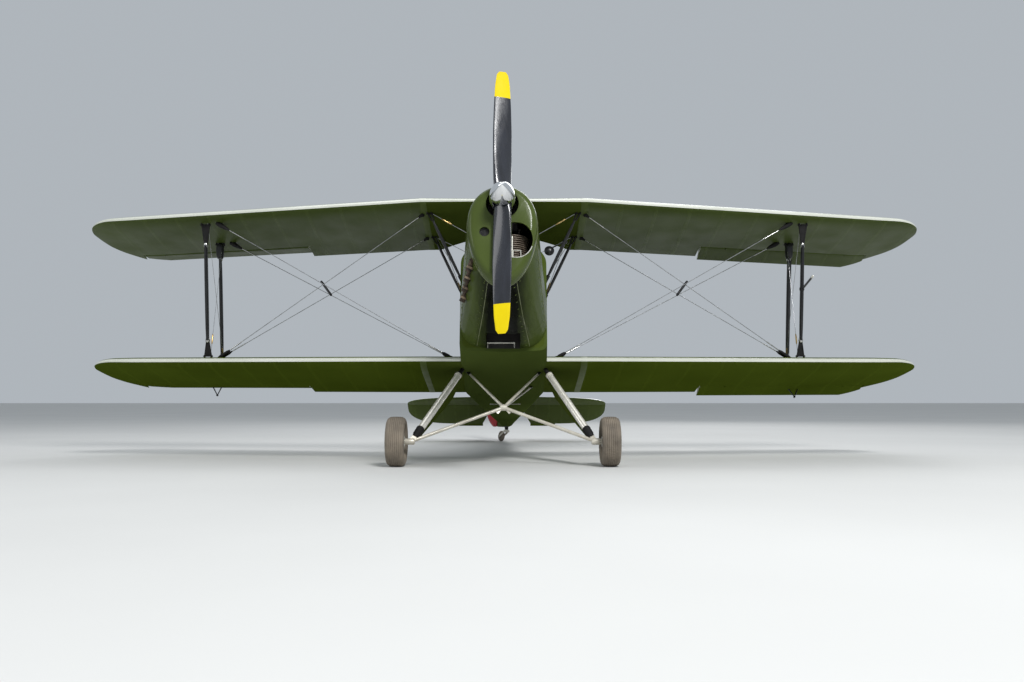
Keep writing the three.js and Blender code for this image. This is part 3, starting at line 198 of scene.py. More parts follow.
UPPER_FABRIC = doped_fabric("upper_fabric", ACROSS, 0.68, gloss=0.12)
# The lower wings' fabric is a yellow-green tinted copy of the same olive: painted green bounce light from the
# ground.
LOWER_FABRIC_BOUNCE_LIT = doped_fabric("lower_fabric_bounce_lit", ACROSS, 0.68, gloss=0.0, tint=(0.96, 0.98, 0.42))
TAIL_FABRIC = doped_fabric("tail_fabric", ACROSS, 0.19, 0.165)
RUDDER_FABRIC = doped_fabric("rudder_fabric", tuple(LEVEL_UP), 0.16, 0.17)
BODY_FABRIC = doped_fabric("body_fabric", AFT, 0.35, 0.48, gloss=0.0)

# Light and dark tone, size of the patches, range of roughness, grain and its depth
PANEL_PAINT = worn("panel_paint", OLIVE, OLIVE_SHADE, 1.6, (0.16, 0.30), 55, 0.0004,
                   coat_weight=0.14, coat_roughness=0.06, specular_ior_level=0.12)
# A light grey paint round the leading edges: a painted highlight that stands for the sky's reflection along
# the glossy noses.
EDGE_HIGHLIGHT = worn("painted_edge_highlight", (0.66, 0.67, 0.60), (0.54, 0.56, 0.48), 1.6, (0.16, 0.28), 55, 0.0003,
                  coat_weight=1.0, coat_roughness=0.10)
STRIP_PAINT = worn("strip_paint", (0.098, 0.128, 0.040), (0.080, 0.106, 0.030), 3, (0.30, 0.44), 70,
                   0.0003, specular_ior_level=0.03)
HINGE_PAINT = worn("hinge_paint", (0.250, 0.270, 0.150), (0.120, 0.140, 0.060), 12, (0.24, 0.38), 70,
                   0.0003, specular_ior_level=0.2)
SHEET_PAINT = worn("sheet_paint", (0.066, 0.090, 0.015), (0.050, 0.068, 0.011), 1.8, (0.32, 0.46), 70,
                   0.0003, specular_ior_level=0.0)
PLYWOOD_PAINT = worn("plywood_paint", OLIVE, OLIVE_SHADE, 2.1, (0.24, 0.38), 90, 0.0003, (1, 0.25, 1),
                     specular_ior_level=0.0)
RED_PAINT = worn("red_paint", (0.40, 0.016, 0.016), (0.28, 0.010, 0.012), 3, (0.28, 0.42), 90, 0.0003,
                 coat_weight=0.08, coat_roughness=0.1, specular_ior_level=0.08)
BLACK_ENAMEL = worn("black_enamel", (0.011, 0.012, 0.013), (0.006, 0.006, 0.007), 9, (0.26, 0.42), 220,
                    0.0002, coat_weight=0.1, coat_roughness=0.12, specular_ior_level=0.35)
BLACK_RUBBER = worn("black_rubber", (0.013, 0.012, 0.012), (0.006, 0.006, 0.006), 14, (0.6, 0.85), 260,
                    0.0006, specular_ior_level=0.25)
WIRE_STEEL = worn("wire_steel", (0.50, 0.51, 0.52), (0.28, 0.28, 0.29), 20, (0.22, 0.40), 300, 0.0001,
                  metallic=0.9)
BRIGHT_STEEL = worn("bright_steel", (0.62, 0.62, 0.61), (0.42, 0.41, 0.40), 25, (0.16, 0.34), 300,
                    0.0001, metallic=1.0)
BRASS = worn("brass", (0.66, 0.47, 0.20), (0.40, 0.27, 0.11), 30, (0.22, 0.42), 300, 0.0001,
             metallic=1.0)
LEG_METAL = worn("leg_metal", (0.95, 0.91, 0.83), (0.78, 0.75, 0.68), 7, (0.18, 0.30), 160, 0.0001,
                 (5, 5, 0.5), metallic=0.50)
CREAM_TUBE = worn("cream_tube", (0.70, 0.67, 0.58), (0.50, 0.46, 0.38), 9, (0.26, 0.45), 200, 0.0002,
                  metallic=0.25, coat_weight=0.2)
RIM_PAINT = worn("rim_paint", (0.62, 0.60, 0.54), (0.40, 0.38, 0.34), 12, (0.28, 0.46), 160, 0.0003,
                 metallic=0.45)
POLISHED = worn("polished_metal", (0.86, 0.87, 0.88), (0.74, 0.75, 0.77), 8, (0.04, 0.11), 60, 0.0001,
                metallic=1.0)
SOOTY_STEEL = worn("sooty_steel", (0.115, 0.080, 0.055), (0.018, 0.014, 0.012), 30, (0.55, 0.8), 180,
                   0.0007, metallic=0.3)
BURNT_STEEL = worn("burnt_steel", (0.44, 0.33, 0.22), (0.060, 0.042, 0.030), 34, (0.55, 0.8), 180,
                   0.0007, metallic=0.3)
CAST_METAL = worn("cast_metal", (0.16, 0.14, 0.125), (0.075, 0.065, 0.058), 18, (0.45, 0.68), 150,
                  0.0005, metallic=0.7)
PLYWOOD = worn("bare_plywood", (0.42, 0.26, 0.13), (0.27, 0.155, 0.075), 14, (0.38, 0.55), 60, 0.0004,
               (1, 0.12, 1))
CRACKLE_BLACK = worn("crackle_black", (0.032, 0.032, 0.034), (0.014, 0.014, 0.015), 60, (0.45, 0.62),
                     420, 0.0009)
DIAL_BLACK = worn("dial_black", (0.012, 0.012, 0.013), (0.008, 0.008, 0.009), 40, (0.35, 0.5), 300,
                  0.00005)
DIAL_WHITE = worn("dial_white", (0.82, 0.81, 0.76), (0.70, 0.68, 0.62), 40, (0.4, 0.5), 300, 0.00005)
PROPELLER_BLACK = worn("propeller_black", (0.020, 0.022, 0.030), (0.012, 0.013, 0.017), 5, (0.16, 0.28),
                       120, 0.0002, (4, 4, 0.3), coat_weight=0.45, coat_roughness=0.04)
PROPELLER_YELLOW = worn("propeller_yellow", (0.74, 0.58, 0.006), (0.67, 0.51, 0.005), 6, (0.42, 0.56),
                        120, 0.0002, specular_ior_level=0.08)
ENGINE_BLACK = worn("engine_black", (0.020, 0.018, 0.016), (0.010, 0.009, 0.008), 20, (0.5, 0.7), 150,
                    0.0005)
ENGINE_TAN = worn("engine_tan", (0.26, 0.21, 0.16), (0.13, 0.10, 0.075), 24, (0.45, 0.65), 150, 0.0004,
                  metallic=0.2)
EDGE_METAL = worn("edge_metal", (0.72, 0.71, 0.64), (0.50, 0.50, 0.44), 26, (0.25, 0.40), 240, 0.0002,
                  metallic=0.3)


def leather():
    """Brown leather with creases and a soft sheen."""
    made = Finish("brown_leather", sheen_weight=0.15, coat_weight=0.15, coat_roughness=0.35)
    cells = made.node("TexVoronoi", [("Vector", made.place), ("Scale", 420.0)],
                      feature="DISTANCE_TO_EDGE").outputs["Distance"]
    made.colour(made.mottled(16, (0.085, 0.035, 0.016), (0.160, 0.072, 0.034)))
    made.uneven_gloss(30, (0.42, 0.62))
    made.bump(made.spread(cells, 0.0, 0.2), 0.0005)
    made.bump(made.noise(45, 4), 0.0016)
    return made.material


def tyre_rubber():
    """Grey-brown rubber in patches of lighter and darker tone."""
    made = Finish("tyre_rubber")
    made.colour(made.mottled(7, (0.100, 0.084, 0.066), (0.235, 0.196, 0.150)))
    made.uneven_gloss(22, (0.72, 0.92))
    made.bump(made.noise(240, 4), 0.0010)
    made.bump(made.noise(38, 3), 0.0012)
    return made.material


def clear_pane():
    """Clear acrylic with faint smears."""
    made = Finish("clear_pane", base_color=(0.94, 0.97, 0.97), transmission_weight=1.0, ior=1.45)
    made.uneven_gloss(11, (0.01, 0.07), detail=5, edges=(0.35, 0.75))
    made.bump(made.noise(9, 2), 0.0003)
    return made.material


# Half width of the painted shade along the bottom of the cowl, and the heights along the level frame's up
# between which it fades
SHADE_WIDTHS = (0.14, 0.26)
SHADE_HEIGHTS = tuple(AXLE.dot(LEVEL_UP) + z for z in (0.96, 1.10))


def cowl_paint():
    """Olive paint with painted shade: it darkens along the bottom middle of the cowl."""
    made = Finish("cowl_paint", coat_weight=0.03, coat_roughness=0.05, specular_ior_level=0.02)
    paint = made.mottled(1.6, OLIVE_SHADE, OLIVE, edges=(0.32, 0.68))
    streaks = made.math("MULTIPLY", made.noise(9.0, 4, (3.0, 0.25, 1.0)), 0.08)
    middle = made.math("ABSOLUTE", made.along(ACROSS))
    across = made.spread(made.math("ADD", middle, streaks), *SHADE_WIDTHS, 1.0, 0.0)
    low = made.spread(made.along(tuple(LEVEL_UP)), *SHADE_HEIGHTS, 1.0, 0.0)
    # The bottom middle of the cowl is mixed to near black: painted shade.
    made.colour(made.mix(made.math("MULTIPLY", across, low), paint, COWL_BOTTOM_SHADE))
    made.uneven_gloss(4.3, (0.18, 0.32))
    made.bump(made.noise(55, 3), 0.0004)
    return made.material


COWL_PAINT = cowl_paint()
LEATHER = leather()
TYRE_RUBBER = tyre_rubber()
CLEAR_PANE = clear_pane()


# Shapes
class Shape:
    """Vertices and faces in the level frame, with a material number for each face."""

    def __init__(self, verts=(), faces=(), mark=0):
        self.verts = np.array(verts, float).reshape(-1, 3)
        self.faces = [tuple(face) for face in faces]
        self.marks = [mark] * len(self.faces)

    def __add__(self, other):
        made = Shape()
        start = len(self.verts)
        made.verts = np.vstack([self.verts, other.verts])
        made.faces = self.faces + [tuple(i + start for i in face) for face in other.faces]
        made.marks = self.marks + other.marks
        return made

    def marked(self, mark):
        self.marks = [mark] * len(self.faces)
        return self

    def turned(self, matrix):
        made = Shape([matrix @ Vector(v) for v in self.verts], self.faces)
        made.marks = list(self.marks)
        return made

    def moved(self, x, y, z):
        return self.turned(Matrix.Translation((x, y, z)))

    def on_side(self, sign):
        made = Shape(self.verts * (sign, 1, 1), self.faces)
        made.marks = list(self.marks)
        return made


def joined(shapes):
    return sum(shapes, Shape())


def loft(rings, closed=False):
    """A skin through rings of equal length, with caps, or closed from the last ring to the first."""
    rings = np.array(rings, float)
    rows, count = rings.shape[:2]
    faces = []
    for i in range(rows if closed else rows - 1):
        start, after = i * count, (i + 1) % rows * count
        for j in range(count):
            k = (j + 1) % count
            faces.append((start + j, start + k, after + k, after + j))
    if not closed:
        faces.append(tuple(range(count)))
        faces.append(tuple(range((rows - 1) * count, rows * count)))
    return Shape(rings.reshape(-1, 3), faces)


def square_to(direction):
    """Two unit vectors square to a direction."""
    along = Vector(direction).normalized()
    start = Vector((0, 0, 1)) if abs(along.z) < 0.9 else Vector((0, 1, 0))
    side = start.cross(along).normalized()
    return side, along.cross(side)


def circle(centre, side, up, radius, sides):
    turns = [2 * math.pi * i / sides for i in range(sides)]
    return [centre + (side * math.cos(t) + up * math.sin(t)) * radius for t in turns]


def turned_rows(rows, origin, axis, sides=24, closed=False):
    """A body of revolution: rows of (place along the axis, radius)."""
    origin, axis = Vector(origin), Vector(axis).normalized()
    side, up = square_to(axis)
    return loft([circle(origin + axis * place, side, up, max(radius, 1e-5), sides)
                 for place, radius in rows], closed)


def tube(a, b, radius, end_radius=None, sides=16):
    a, b = Vector(a), Vector(b)
    end = radius if end_radius is None else end_radius
    return turned_rows([(0, radius), ((b - a).length, end)], a, b - a, sides)


def cross_tube(place, half, radius, sides=16):
    """A round bar along X, centred on a place."""
    x, y, z = place
    return tube((x - half, y, z), (x + half, y, z), radius, sides=sides)


def boss(place, axis, half, flat, end, radius, sides=20):
    """A short round body whose ends taper from a radius to a smaller one."""
    return turned_rows([(-half, end), (-flat, radius), (flat, radius), (half, end)], place, axis, sides)


def rod(points, radius, sides=10, closed=False):
    """A round rod along a smooth path."""
    points = [Vector(p) for p in points]
    last = len(points) - 1
    side, _ = square_to(points[1] - points[0])
    rings = []
    for i, p in enumerate(points):
        before = points[i - 1] if i or closed else p
        after = points[(i + 1) % len(points)] if i < last or closed else p
        along = (after - before).normalized()
        side = (side - along * side.dot(along)).normalized()
        rings.append(circle(p, side, along.cross(side), radius, sides))
    return loft(rings, closed)


def plate(a, b, side, width, thickness):
    """A flat bar from a to b, its thickness along the side direction."""
    a, b, side = Vector(a), Vector(b), Vector(side).normalized()
    across = (b - a).normalized().cross(side).normalized()
    corners = [(-1, -1), (1, -1), (1, 1), (-1, 1)]
    return loft([[p + side * u * thickness / 2 + across * v * width / 2 for u, v in corners] for p in (a, b)])


def box_shape(x0, x1, y0, y1, z0, z1):
    corners = [(x0, y0), (x1, y0), (x1, y1), (x0, y1)]
    return loft([[(x, y, z) for x, y in corners] for z in (z0, z1)])


def faired(a, b, chord, width, sides=24, waist=1.0, end_scale=1.0):
    """A streamlined bar from a to b: round in front and drawn out behind."""
    a, b = Vector(a), Vector(b)
    along = (b - a).normalized()
    side = Vector((0, 1, 0)).cross(along).normalized()
    aft = along.cross(side)
    if aft.y < 0:
        side, aft = -side, -aft
    rings = []
    for t in np.linspace(0, 1, 9):
        size = (end_scale + (1 - end_scale) * math.sin(math.pi * t) ** 0.35) * waist
        centre = a.lerp(b, t)
        ring = []
        for i in range(sides):
            angle = 2 * math.pi * i / sides
            reach = math.cos(angle)
            back = -0.5 * chord * reach
            fullness = abs(math.sin(angle)) * (1 + 0.28 * reach)
            sign = 1 if math.sin(angle) >= 0 else -1
            ring.append(centre + (aft * back + side * sign * fullness * width / 2) * size)
        rings.append(ring)
    return loft(rings)


def hexagon_bolt(place, axis, size=0.007, height=0.005):
    place, axis = Vector(place), Vector(axis).normalized()
    washer = turned_rows([(0, size * 1.25), (height * 0.25, size * 1.25)], place, axis, 16)
    head_rows = [(0, size), (height * 0.8, size), (height, size * 0.8)]
    return washer + turned_rows(head_rows, place + axis * height * 0.25, axis, 6)


def make(name, shape, materials, body="airframe", replaces=()):
    """An object from a level-frame shape, in the row frame, that rides on a body."""
    mesh = bpy.data.meshes.new(name)
    turn = np.array(LEVEL)
    placed = shape.verts @ turn[:3, :3].T + turn[:3, 3]
    mesh.from_pydata(placed.tolist(), [], shape.faces)
    materials = materials if isinstance(materials, (list, tuple)) else [materials]
    for material in materials:
        mesh.materials.append(material)
    mesh.polygons.foreach_set("material_index", shape.marks)
    editing = bmesh.new()
    editing.from_mesh(mesh)
    bmesh.ops.recalc_face_normals(editing, faces=editing.faces)
    editing.to_mesh(mesh)
    editing.free()
    smoothed(mesh)
    made = bpy.data.objects.new(name, mesh)
    bpy.context.scene.collection.objects.link(made)
    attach(made, body)
    if replaces:
        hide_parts(*replaces)
    return made


def make_pair(name, shape, materials, node=None):
    """A left-hand shape and its mirror image, with {} where the names say the side."""
    for side, sign in SIDES:
        make(name.format(side), shape.on_side(sign), materials,
             replaces=[node.format(side)] if node else ())


def smoothed(mesh):
    mesh.shade_smooth()
    mesh.set_sharp_from_angle(angle=SMOOTH_ANGLE)


def evaluated_mesh(piece):
    """What a piece's modifiers make of its mesh."""
    bpy.context.view_layer.update()
    return bpy.data.meshes.new_from_object(piece.evaluated_get(bpy.context.evaluated_depsgraph_get()))


def carve(target, *shapes):
    """Cuts level-frame shapes out of an object."""
    for shape in shapes:
        cutter = make("cutter", shape, target.data.materials[0])
        cut = target.modifiers.new("cut", "BOOLEAN")
        cut.operation = "DIFFERENCE"
        cut.solver = "EXACT"
        cut.object = cutter
        carved = evaluated_mesh(target)
        target.modifiers.clear()
        target.data = carved
        bpy.data.objects.remove(cutter)
    smoothed(target.data)


# Wings
CHORD = 1.020
JOINT_X = 0.680
SWEEP = math.radians(11)
INCIDENCE = math.radians(1)
SECTION_DEPTH = 0.115
SECTION_CAMBER = 0.025
CAMBER_PLACE = 0.4
EDGE_HALF = 0.0012
GAP = 0.0003
UPPER = {"edge_y": -0.115, "edge_z": 1.963, "dihedral": math.radians(1.25)}
LOWER = {"edge_y": 0.285, "edge_z": 0.731, "dihedral": math.radians(2.95)}
# x, and the shares of the chord where the wing begins and ends
TIP_OUTLINE = [(3.200, 0.0, 1.0), (3.300, 0.0, 0.945), (3.390, 0.0, 0.87), (3.460, 0.005, 0.79),
               (3.550, 0.04, 0.68), (3.620, 0.105, 0.545), (3.650, 0.165, 0.42), (3.665, 0.22, 0.33),
               (3.670, 0.25, 0.29)]
INNER_SPARS = (0.15, 0.66)
OUTER_SPARS = (0.11, 0.55)
FABRIC_SAG = 0.0022
# Shares of the chord at the front without sag, and over which the sag grows and fades
SAG_SPAN = {"front": 0.10, "grow": 0.15, "fade": 0.12}
SHARES = 0.5 * (1 - np.cos(np.linspace(0, math.pi, 25)))
# How many faces over and under each leading edge take the painted highlight
NOSE_FACES = {"over": 2, "under": 1}


def half_depth(t):
    return 5 * SECTION_DEPTH * (0.2969 * np.sqrt(t) - 0.126 * t - 0.3516 * t**2
                                + 0.2843 * t**3 - 0.1036 * t**4)


def camber(t):
    p = CAMBER_PLACE
    front = SECTION_CAMBER / p**2 * (2 * p * t - t**2)
    rear = SECTION_CAMBER / (1 - p) ** 2 * (1 - 2 * p + 2 * p * t - t**2)
    return np.where(t < p, front, rear)


def on_chord(wing, x, share, height=0.0):
    """The point at a share of the chord, and a height above the chord line."""
    out = max(0.0, abs(x) - JOINT_X)
    back = share * CHORD
    y = wing["edge_y"] + out * math.tan(SWEEP) + back * math.cos(INCIDENCE) + height * math.sin(INCIDENCE)
    z = wing["edge_z"] + out * math.tan(wing["dihedral"]) - back * math.sin(INCIDENCE)
    return Vector((x, y, z + height * math.cos(INCIDENCE)))


def on_skin(wing, x, share, sign):
    height = (float(camber(share)) + sign * float(half_depth(share))) * CHORD
    return on_chord(wing, x, share, height + sign * EDGE_HALF)


def inside_wing(wing, x, share):
    return on_chord(wing, x, share, float(camber(share)) * CHORD)


def rib_sag(x, pitch=RIB_PITCH, offset=JOINT_X):
    """How far the fabric sags between ribs, as a share of the most."""
    f = ((abs(x) - offset) / pitch) % 1
    return 4 * f * (1 - f)


def wing_ring(wing, x, front=0.0, rear=1.0, sag=0.0):
    size = (rear - front) * CHORD
    grow = np.clip((SHARES - SAG_SPAN["front"]) / SAG_SPAN["grow"], 0, 1)
    taut = grow * np.clip((1 - SHARES) / SAG_SPAN["fade"], 0, 1)
    middle, reach = camber(SHARES) * size, half_depth(SHARES) * size + EDGE_HALF - sag * taut
    places = front + SHARES * (rear - front)
    top = [on_chord(wing, x, s, m + r) for s, m, r in zip(places, middle, reach)]
    bottom = [on_chord(wing, x, s, m - r) for s, m, r in zip(places, middle, reach)]
    return top[::-1] + bottom[1:]


def rounded_rows(rows, times=2):
    """A table with the corners of its line cut back and its ends kept."""
    rows = np.array(rows, float)
    for _ in range(times):
        near, far = rows[:-1] * 0.75 + rows[1:] * 0.25, rows[:-1] * 0.25 + rows[1:] * 0.75
        inner = np.stack([near, far], 1).reshape(-1, rows.shape[1])
        rows = np.vstack([rows[:1], inner, rows[-1:]])
    return rows


def tip_shares(x):
    return station_at(rounded_rows(TIP_OUTLINE), abs(x))


def wing_stations():
    bays = np.arange(JOINT_X + GAP, TIP_OUTLINE[0][0], RIB_PITCH / 6)
    return [*bays, *rounded_rows(TIP_OUTLINE)[:, 0]]


def marked_nose(shape, rows, count=2 * len(SHARES) - 1):
    """Gives the faces around a wing's leading edge the second material, the painted highlight."""
    first, last = len(SHARES) - 1 - NOSE_FACES["over"], len(SHARES) - 1 + NOSE_FACES["under"]
    for i in range(rows - 1):
        for j in range(first, last):
            shape.marks[i * count + j] = 1
    return shape


def outer_wing_shape(wing):
    rings = []
    for x in wing_stations():
        front, rear = tip_shares(x)
        fade = max(0.0, (rear - front - 0.5) / 0.5)
        rings.append(wing_ring(wing, x, front, rear, FABRIC_SAG * rib_sag(x) * fade))
    return marked_nose(loft(rings), len(rings))


# Ailerons
AILERON = {"inner": 1.770, "outer": 3.390, "end_gap": 0.010, "hinge": 0.79, "bay": 0.753,
           "nose": 0.0245, "skin": 0.0018, "sag": 0.0016, "rib": 0.0015}
AILERON_REST = math.radians(10)
AILERON_BRACKETS = (0.250, 1.430)
# Reach of the slots for the brackets, and height of the brackets
AILERON_HINGE = {"slot": 0.060, "height": 0.018}
TAIL_HINGE = {"slot": 0.050, "height": 0.016}
HINGE = {"plate": 0.006, "slot": 0.0068, "sink": 0.006, "clearance": 0.005, "pin_half": 0.012,
         "pin_radius": 0.004}
HORN = {"x": 2.675, "back": 0.095, "above": 0.030, "below": 0.050, "radius": 0.011, "half": 0.0035}
CRANK = {"x": 2.700, "share": 0.86, "depth": 0.085, "spread": 0.045, "sink": 0.006}


def hinge_frame(a, b):
    """A matrix with its X along the hinge line from a to b and its Z up."""
    along = (b - a).normalized()
    up = (Vector((0, 0, 1)) - along * along.z).normalized()
    turn = Matrix((along, up.cross(along), up)).transposed().to_4x4()
    return Matrix.Translation(a) @ turn


def aileron_frame(wing):
    height = float(camber(AILERON["hinge"])) * CHORD
    ends = [on_chord(wing, AILERON[end], AILERON["hinge"], height) for end in ("inner", "outer")]
    return hinge_frame(*ends)


def aileron_bay(wing):
    corners = [(AILERON["bay"], 0.2), (AILERON["bay"], -0.2), (1.2, -0.2), (1.2, 0.2)]
    return loft([[on_chord(wing, AILERON[end], share, height) for share, height in corners]
                 for end in ("inner", "outer")])


def aileron_ring(wing, x):
    """A half-round nose inside the wing's section, with the fabric drawn back to the edge."""
    rear = tip_shares(x)[1]
    size, place = rear * CHORD, AILERON["hinge"] / rear
    height = float(camber(place)) * size
    radius = min(AILERON["nose"], float(half_depth(place)) * size + EDGE_HALF - AILERON["skin"])
    sag = AILERON["sag"] * rib_sag(x) * radius / AILERON["nose"]
    ring = []
    for angle in np.linspace(math.pi / 2, 1.5 * math.pi, 13):
        share = AILERON["hinge"] + radius * math.cos(angle) / CHORD
        ring.append(on_chord(wing, x, share, height + radius * math.sin(angle)))
    lower, upper = ring[-1], ring[0]
    ends = [on_chord(wing, x, rear, sign * EDGE_HALF) for sign in (-1, 1)]
    down = Vector((0, 0, sag))
    under = [lower.lerp(ends[0], t) + down * math.sin(math.pi * t) for t in (0.25, 0.5, 0.75)]
    over = [ends[1].lerp(upper, t) - down * math.sin(math.pi * t) for t in (0.25, 0.5, 0.75)]
    return ring + under + ends + over


def hinge_slots(places, hinge):
    half, reach, high = HINGE["slot"] / 2, hinge["slot"], hinge["height"] / 2 + HINGE["clearance"]
    return [box_shape(x - half, x + half, -reach, high, -reach, reach) for x in places]


def hinge_brackets(places, reach, hinge):
    half, height = HINGE["plate"] / 2, hinge["height"] / 2
    shapes = []
    for x in places:
        shapes += [box_shape(x - half, x + half, -reach, 0, -height, height),
                   cross_tube((x, 0, 0), half, height, 20),
                   cross_tube((x, 0, 0), HINGE["pin_half"], HINGE["pin_radius"], 12)]
    return joined(shapes)


def aileron_turn(wing, sign):
    turn = aileron_frame(wing)
    return turn @ Matrix.Rotation(-sign * AILERON_REST, 4, "X") @ turn.inverted()


def horn_shape(wing):
    """The ear on an aileron, above or below it, that its link rod meets."""
    place = aileron_frame(wing)
    along = (HORN["x"] - AILERON["inner"]) / place.col[0].x
    half, back, radius = HORN["half"], HORN["back"], HORN["radius"]
    height = -HORN["below"] if wing is UPPER else HORN["above"]
    low, high = sorted((0, height))
    foot = box_shape(along - half, along + half, back - radius, back + 3 * radius, low, high)
    return (cross_tube((along, back, height), half, radius) + foot).turned(place)


def crank_shape(wing):
    """The V-shaped crank that hangs under a lower aileron."""
    low = on_chord(wing, CRANK["x"], CRANK["share"], -CRANK["depth"])
    rods = []
    for sign in (-1, 1):
        foot = on_skin(wing, CRANK["x"] + sign * CRANK["spread"], CRANK["share"], -1)
        rods.append(tube(foot + Vector((0, 0, CRANK["sink"])), low, 0.0055, 0.0045, 14))
    return joined(rods) + boss(low, (0, 1, 0), 0.012, 0.009, 0.006, 0.009, 16)


def build_wings():
    start, edge = AILERON["inner"] + AILERON["end_gap"], TIP_OUTLINE[0][0]
    stations = [*np.arange(start, edge, RIB_PITCH / 4),
                *np.linspace(edge, AILERON["outer"] - AILERON["end_gap"], 9)]
    reach = (AILERON["hinge"] - AILERON["bay"]) * CHORD + HINGE["sink"]
    for level_name, wing, fabric in (("upper", UPPER, UPPER_FABRIC), ("lower", LOWER, LOWER_FABRIC_BOUNCE_LIT)):
        body_shape = outer_wing_shape(wing)
        blade = loft([aileron_ring(wing, x) for x in stations])
        rib = loft([aileron_ring(wing, x) for x in (start - AILERON["rib"], start)])
        place = aileron_frame(wing)
        slots = [s.turned(place) for s in hinge_slots(AILERON_BRACKETS, AILERON_HINGE)]
        brackets = hinge_brackets(AILERON_BRACKETS, reach, AILERON_HINGE).turned(place)
        parts = [("horn", horn_shape(wing), BLACK_ENAMEL, "black_strut"),
                 ("end_rib", rib, EDGE_METAL, "fabric_skin")]
        if wing is LOWER:
            parts.append(("crank", crank_shape(wing), BLACK_ENAMEL, "black_strut"))
        for side, sign in SIDES:
            node = f"{level_name}_wing_{side}"
            skin = make(f"{node}_skin", body_shape.on_side(sign), [fabric, EDGE_HIGHLIGHT],
                        replaces=[node])
            carve(skin, aileron_bay(wing).on_side(sign))
            make(f"{node}_hinges", brackets.on_side(sign), BLACK_ENAMEL)
            turn = aileron_turn(wing, sign)
            node = f"aileron_{level_name}_{side}"
            flap = make(f"{node}_skin", blade.turned(turn).on_side(sign), fabric, node,
                        [node])
            carve(flap, *[s.turned(turn).on_side(sign) for s in slots])
            for part, shape, material, slot in parts:
                make(f"{node}_{part}", shape.turned(turn).on_side(sign), material, node)


# Centre section, joint strips and stubs
CENTRE = {"cutout_half": 0.580, "cutout_depth": 0.3, "rib_pitch": 0.227, "stations": 57}
JOINT_STRIP = {"x": 0.657, "half": 0.026, "thickness": 0.0009, "bevel": 0.9}
STUB_INNER_X, STUB_SINK = 0.330, 0.01


def build_centre_section():
    rings = []
    for x in np.linspace(-JOINT_X + GAP, JOINT_X - GAP, CENTRE["stations"]):
        inside = math.cos(math.pi / 2 * min(1.0, abs(x) / CENTRE["cutout_half"]))
        ring = wing_ring(UPPER, JOINT_X, 0, 1 - CENTRE["cutout_depth"] * inside,
                         FABRIC_SAG * rib_sag(x, CENTRE["rib_pitch"], 0.0))
        rings.append([(x, p.y, p.z) for p in ring])
    make("upper_centre_skin", marked_nose(loft(rings), len(rings)), [SHEET_PAINT, EDGE_HIGHLIGHT],
         replaces=["upper_centre_section"])


def build_joint_strips():
    """Thin metal bands over the joints between the inner and outer wings."""
    bevel = JOINT_STRIP["bevel"]
    for level_name, wing in (("upper", UPPER), ("lower", LOWER)):
        strip = []
        for offset in (-1, -bevel, bevel, 1):
            x = JOINT_STRIP["x"] + offset * JOINT_STRIP["half"]
            ring = [(x, p.y, p.z) for p in wing_ring(wing, x)]
            strip.append(raised(ring, JOINT_STRIP["thickness"] if abs(offset) < 1 else 0.0))
        make_pair(level_name + "_joint_strip_{}", marked_nose(loft(strip), len(strip)),
                  [STRIP_PAINT, EDGE_HIGHLIGHT])


def raised(ring, height):
    """The ring moved out from its own line, in its own plane of constant x."""
    ring = np.array(ring, float)
    run = np.roll(ring, -1, 0) - np.roll(ring, 1, 0)
    normal = np.stack([np.zeros(len(ring)), run[:, 2], -run[:, 1]], 1)
    normal /= np.maximum(np.linalg.norm(normal, axis=1, keepdims=True), 1e-9)
    if np.mean(np.sum((ring - ring.mean(0)) * normal, 1)) < 0:
        normal = -normal
    return ring + normal * height


def build_lower_stubs():
    rings = [[(x, p.y, p.z) for p in wing_ring(LOWER, JOINT_X)]
             for x in np.linspace(STUB_INNER_X - STUB_SINK, JOINT_X - GAP, 13)]
    make_pair("lower_stub_{}_skin", marked_nose(loft(rings), len(rings)), [SHEET_PAINT, EDGE_HIGHLIGHT],
              "lower_stub_{}")


# Fuselage: y, half width, bottom, upper longeron
BODY_STATIONS = [(-0.125, 0.340, 0.690, 1.395), (0.500, 0.358, 0.672, 1.400),
                 (1.250, 0.358, 0.672, 1.400), (2.050, 0.290, 0.768, 1.392)]
REAR_STATIONS = [(2.050, 0.290, 0.768, 1.392), (3.300, 0.180, 0.920, 1.374),
                 (4.400, 0.080, 1.052, 1.3134), (4.500, 0.050, 1.066, 1.288)]
# y, half width, base, crown
DECK_STATIONS = [(-0.125, 0.340, 1.395, 1.590), (0.450, 0.357, 1.400, 1.615),
                 (1.250, 0.358, 1.400, 1.625), (2.050, 0.290, 1.392, 1.630)]
TURTLE_STATIONS = [(2.050, 0.290, 1.392, 1.630), (2.800, 0.224, 1.381, 1.560),
                   (3.300, 0.180, 1.374, 1.492), (4.010, 0.115, 1.335, 1.376)]
WALL, DECK_WALL, CHINE, KEEL_DROP = 0.022, 0.014, 0.055, 0.012
ARCH_POWER, OVAL_POWER = 2.4, 3.2
FIREWALL = {"front": -0.1247, "rear": -0.110, "inset": 0.004, "arch_inset": 0.003}
TUB_OUTER_POINTS = 19
OPENING_CUT = (1.3, 1.9)
FRONT_COCKPIT = {"front": 0.470, "rear": 1.090, "half": 0.255}
REAR_COCKPIT = {"front": 1.400, "rear": 2.010, "half": 0.240}


def station_at(stations, y):
    """The row of a station table at y, mixed between its neighbours."""
    table = np.array(stations)
    return [float(np.interp(y, table[:, 0], table[:, k])) for k in range(1, table.shape[1])]


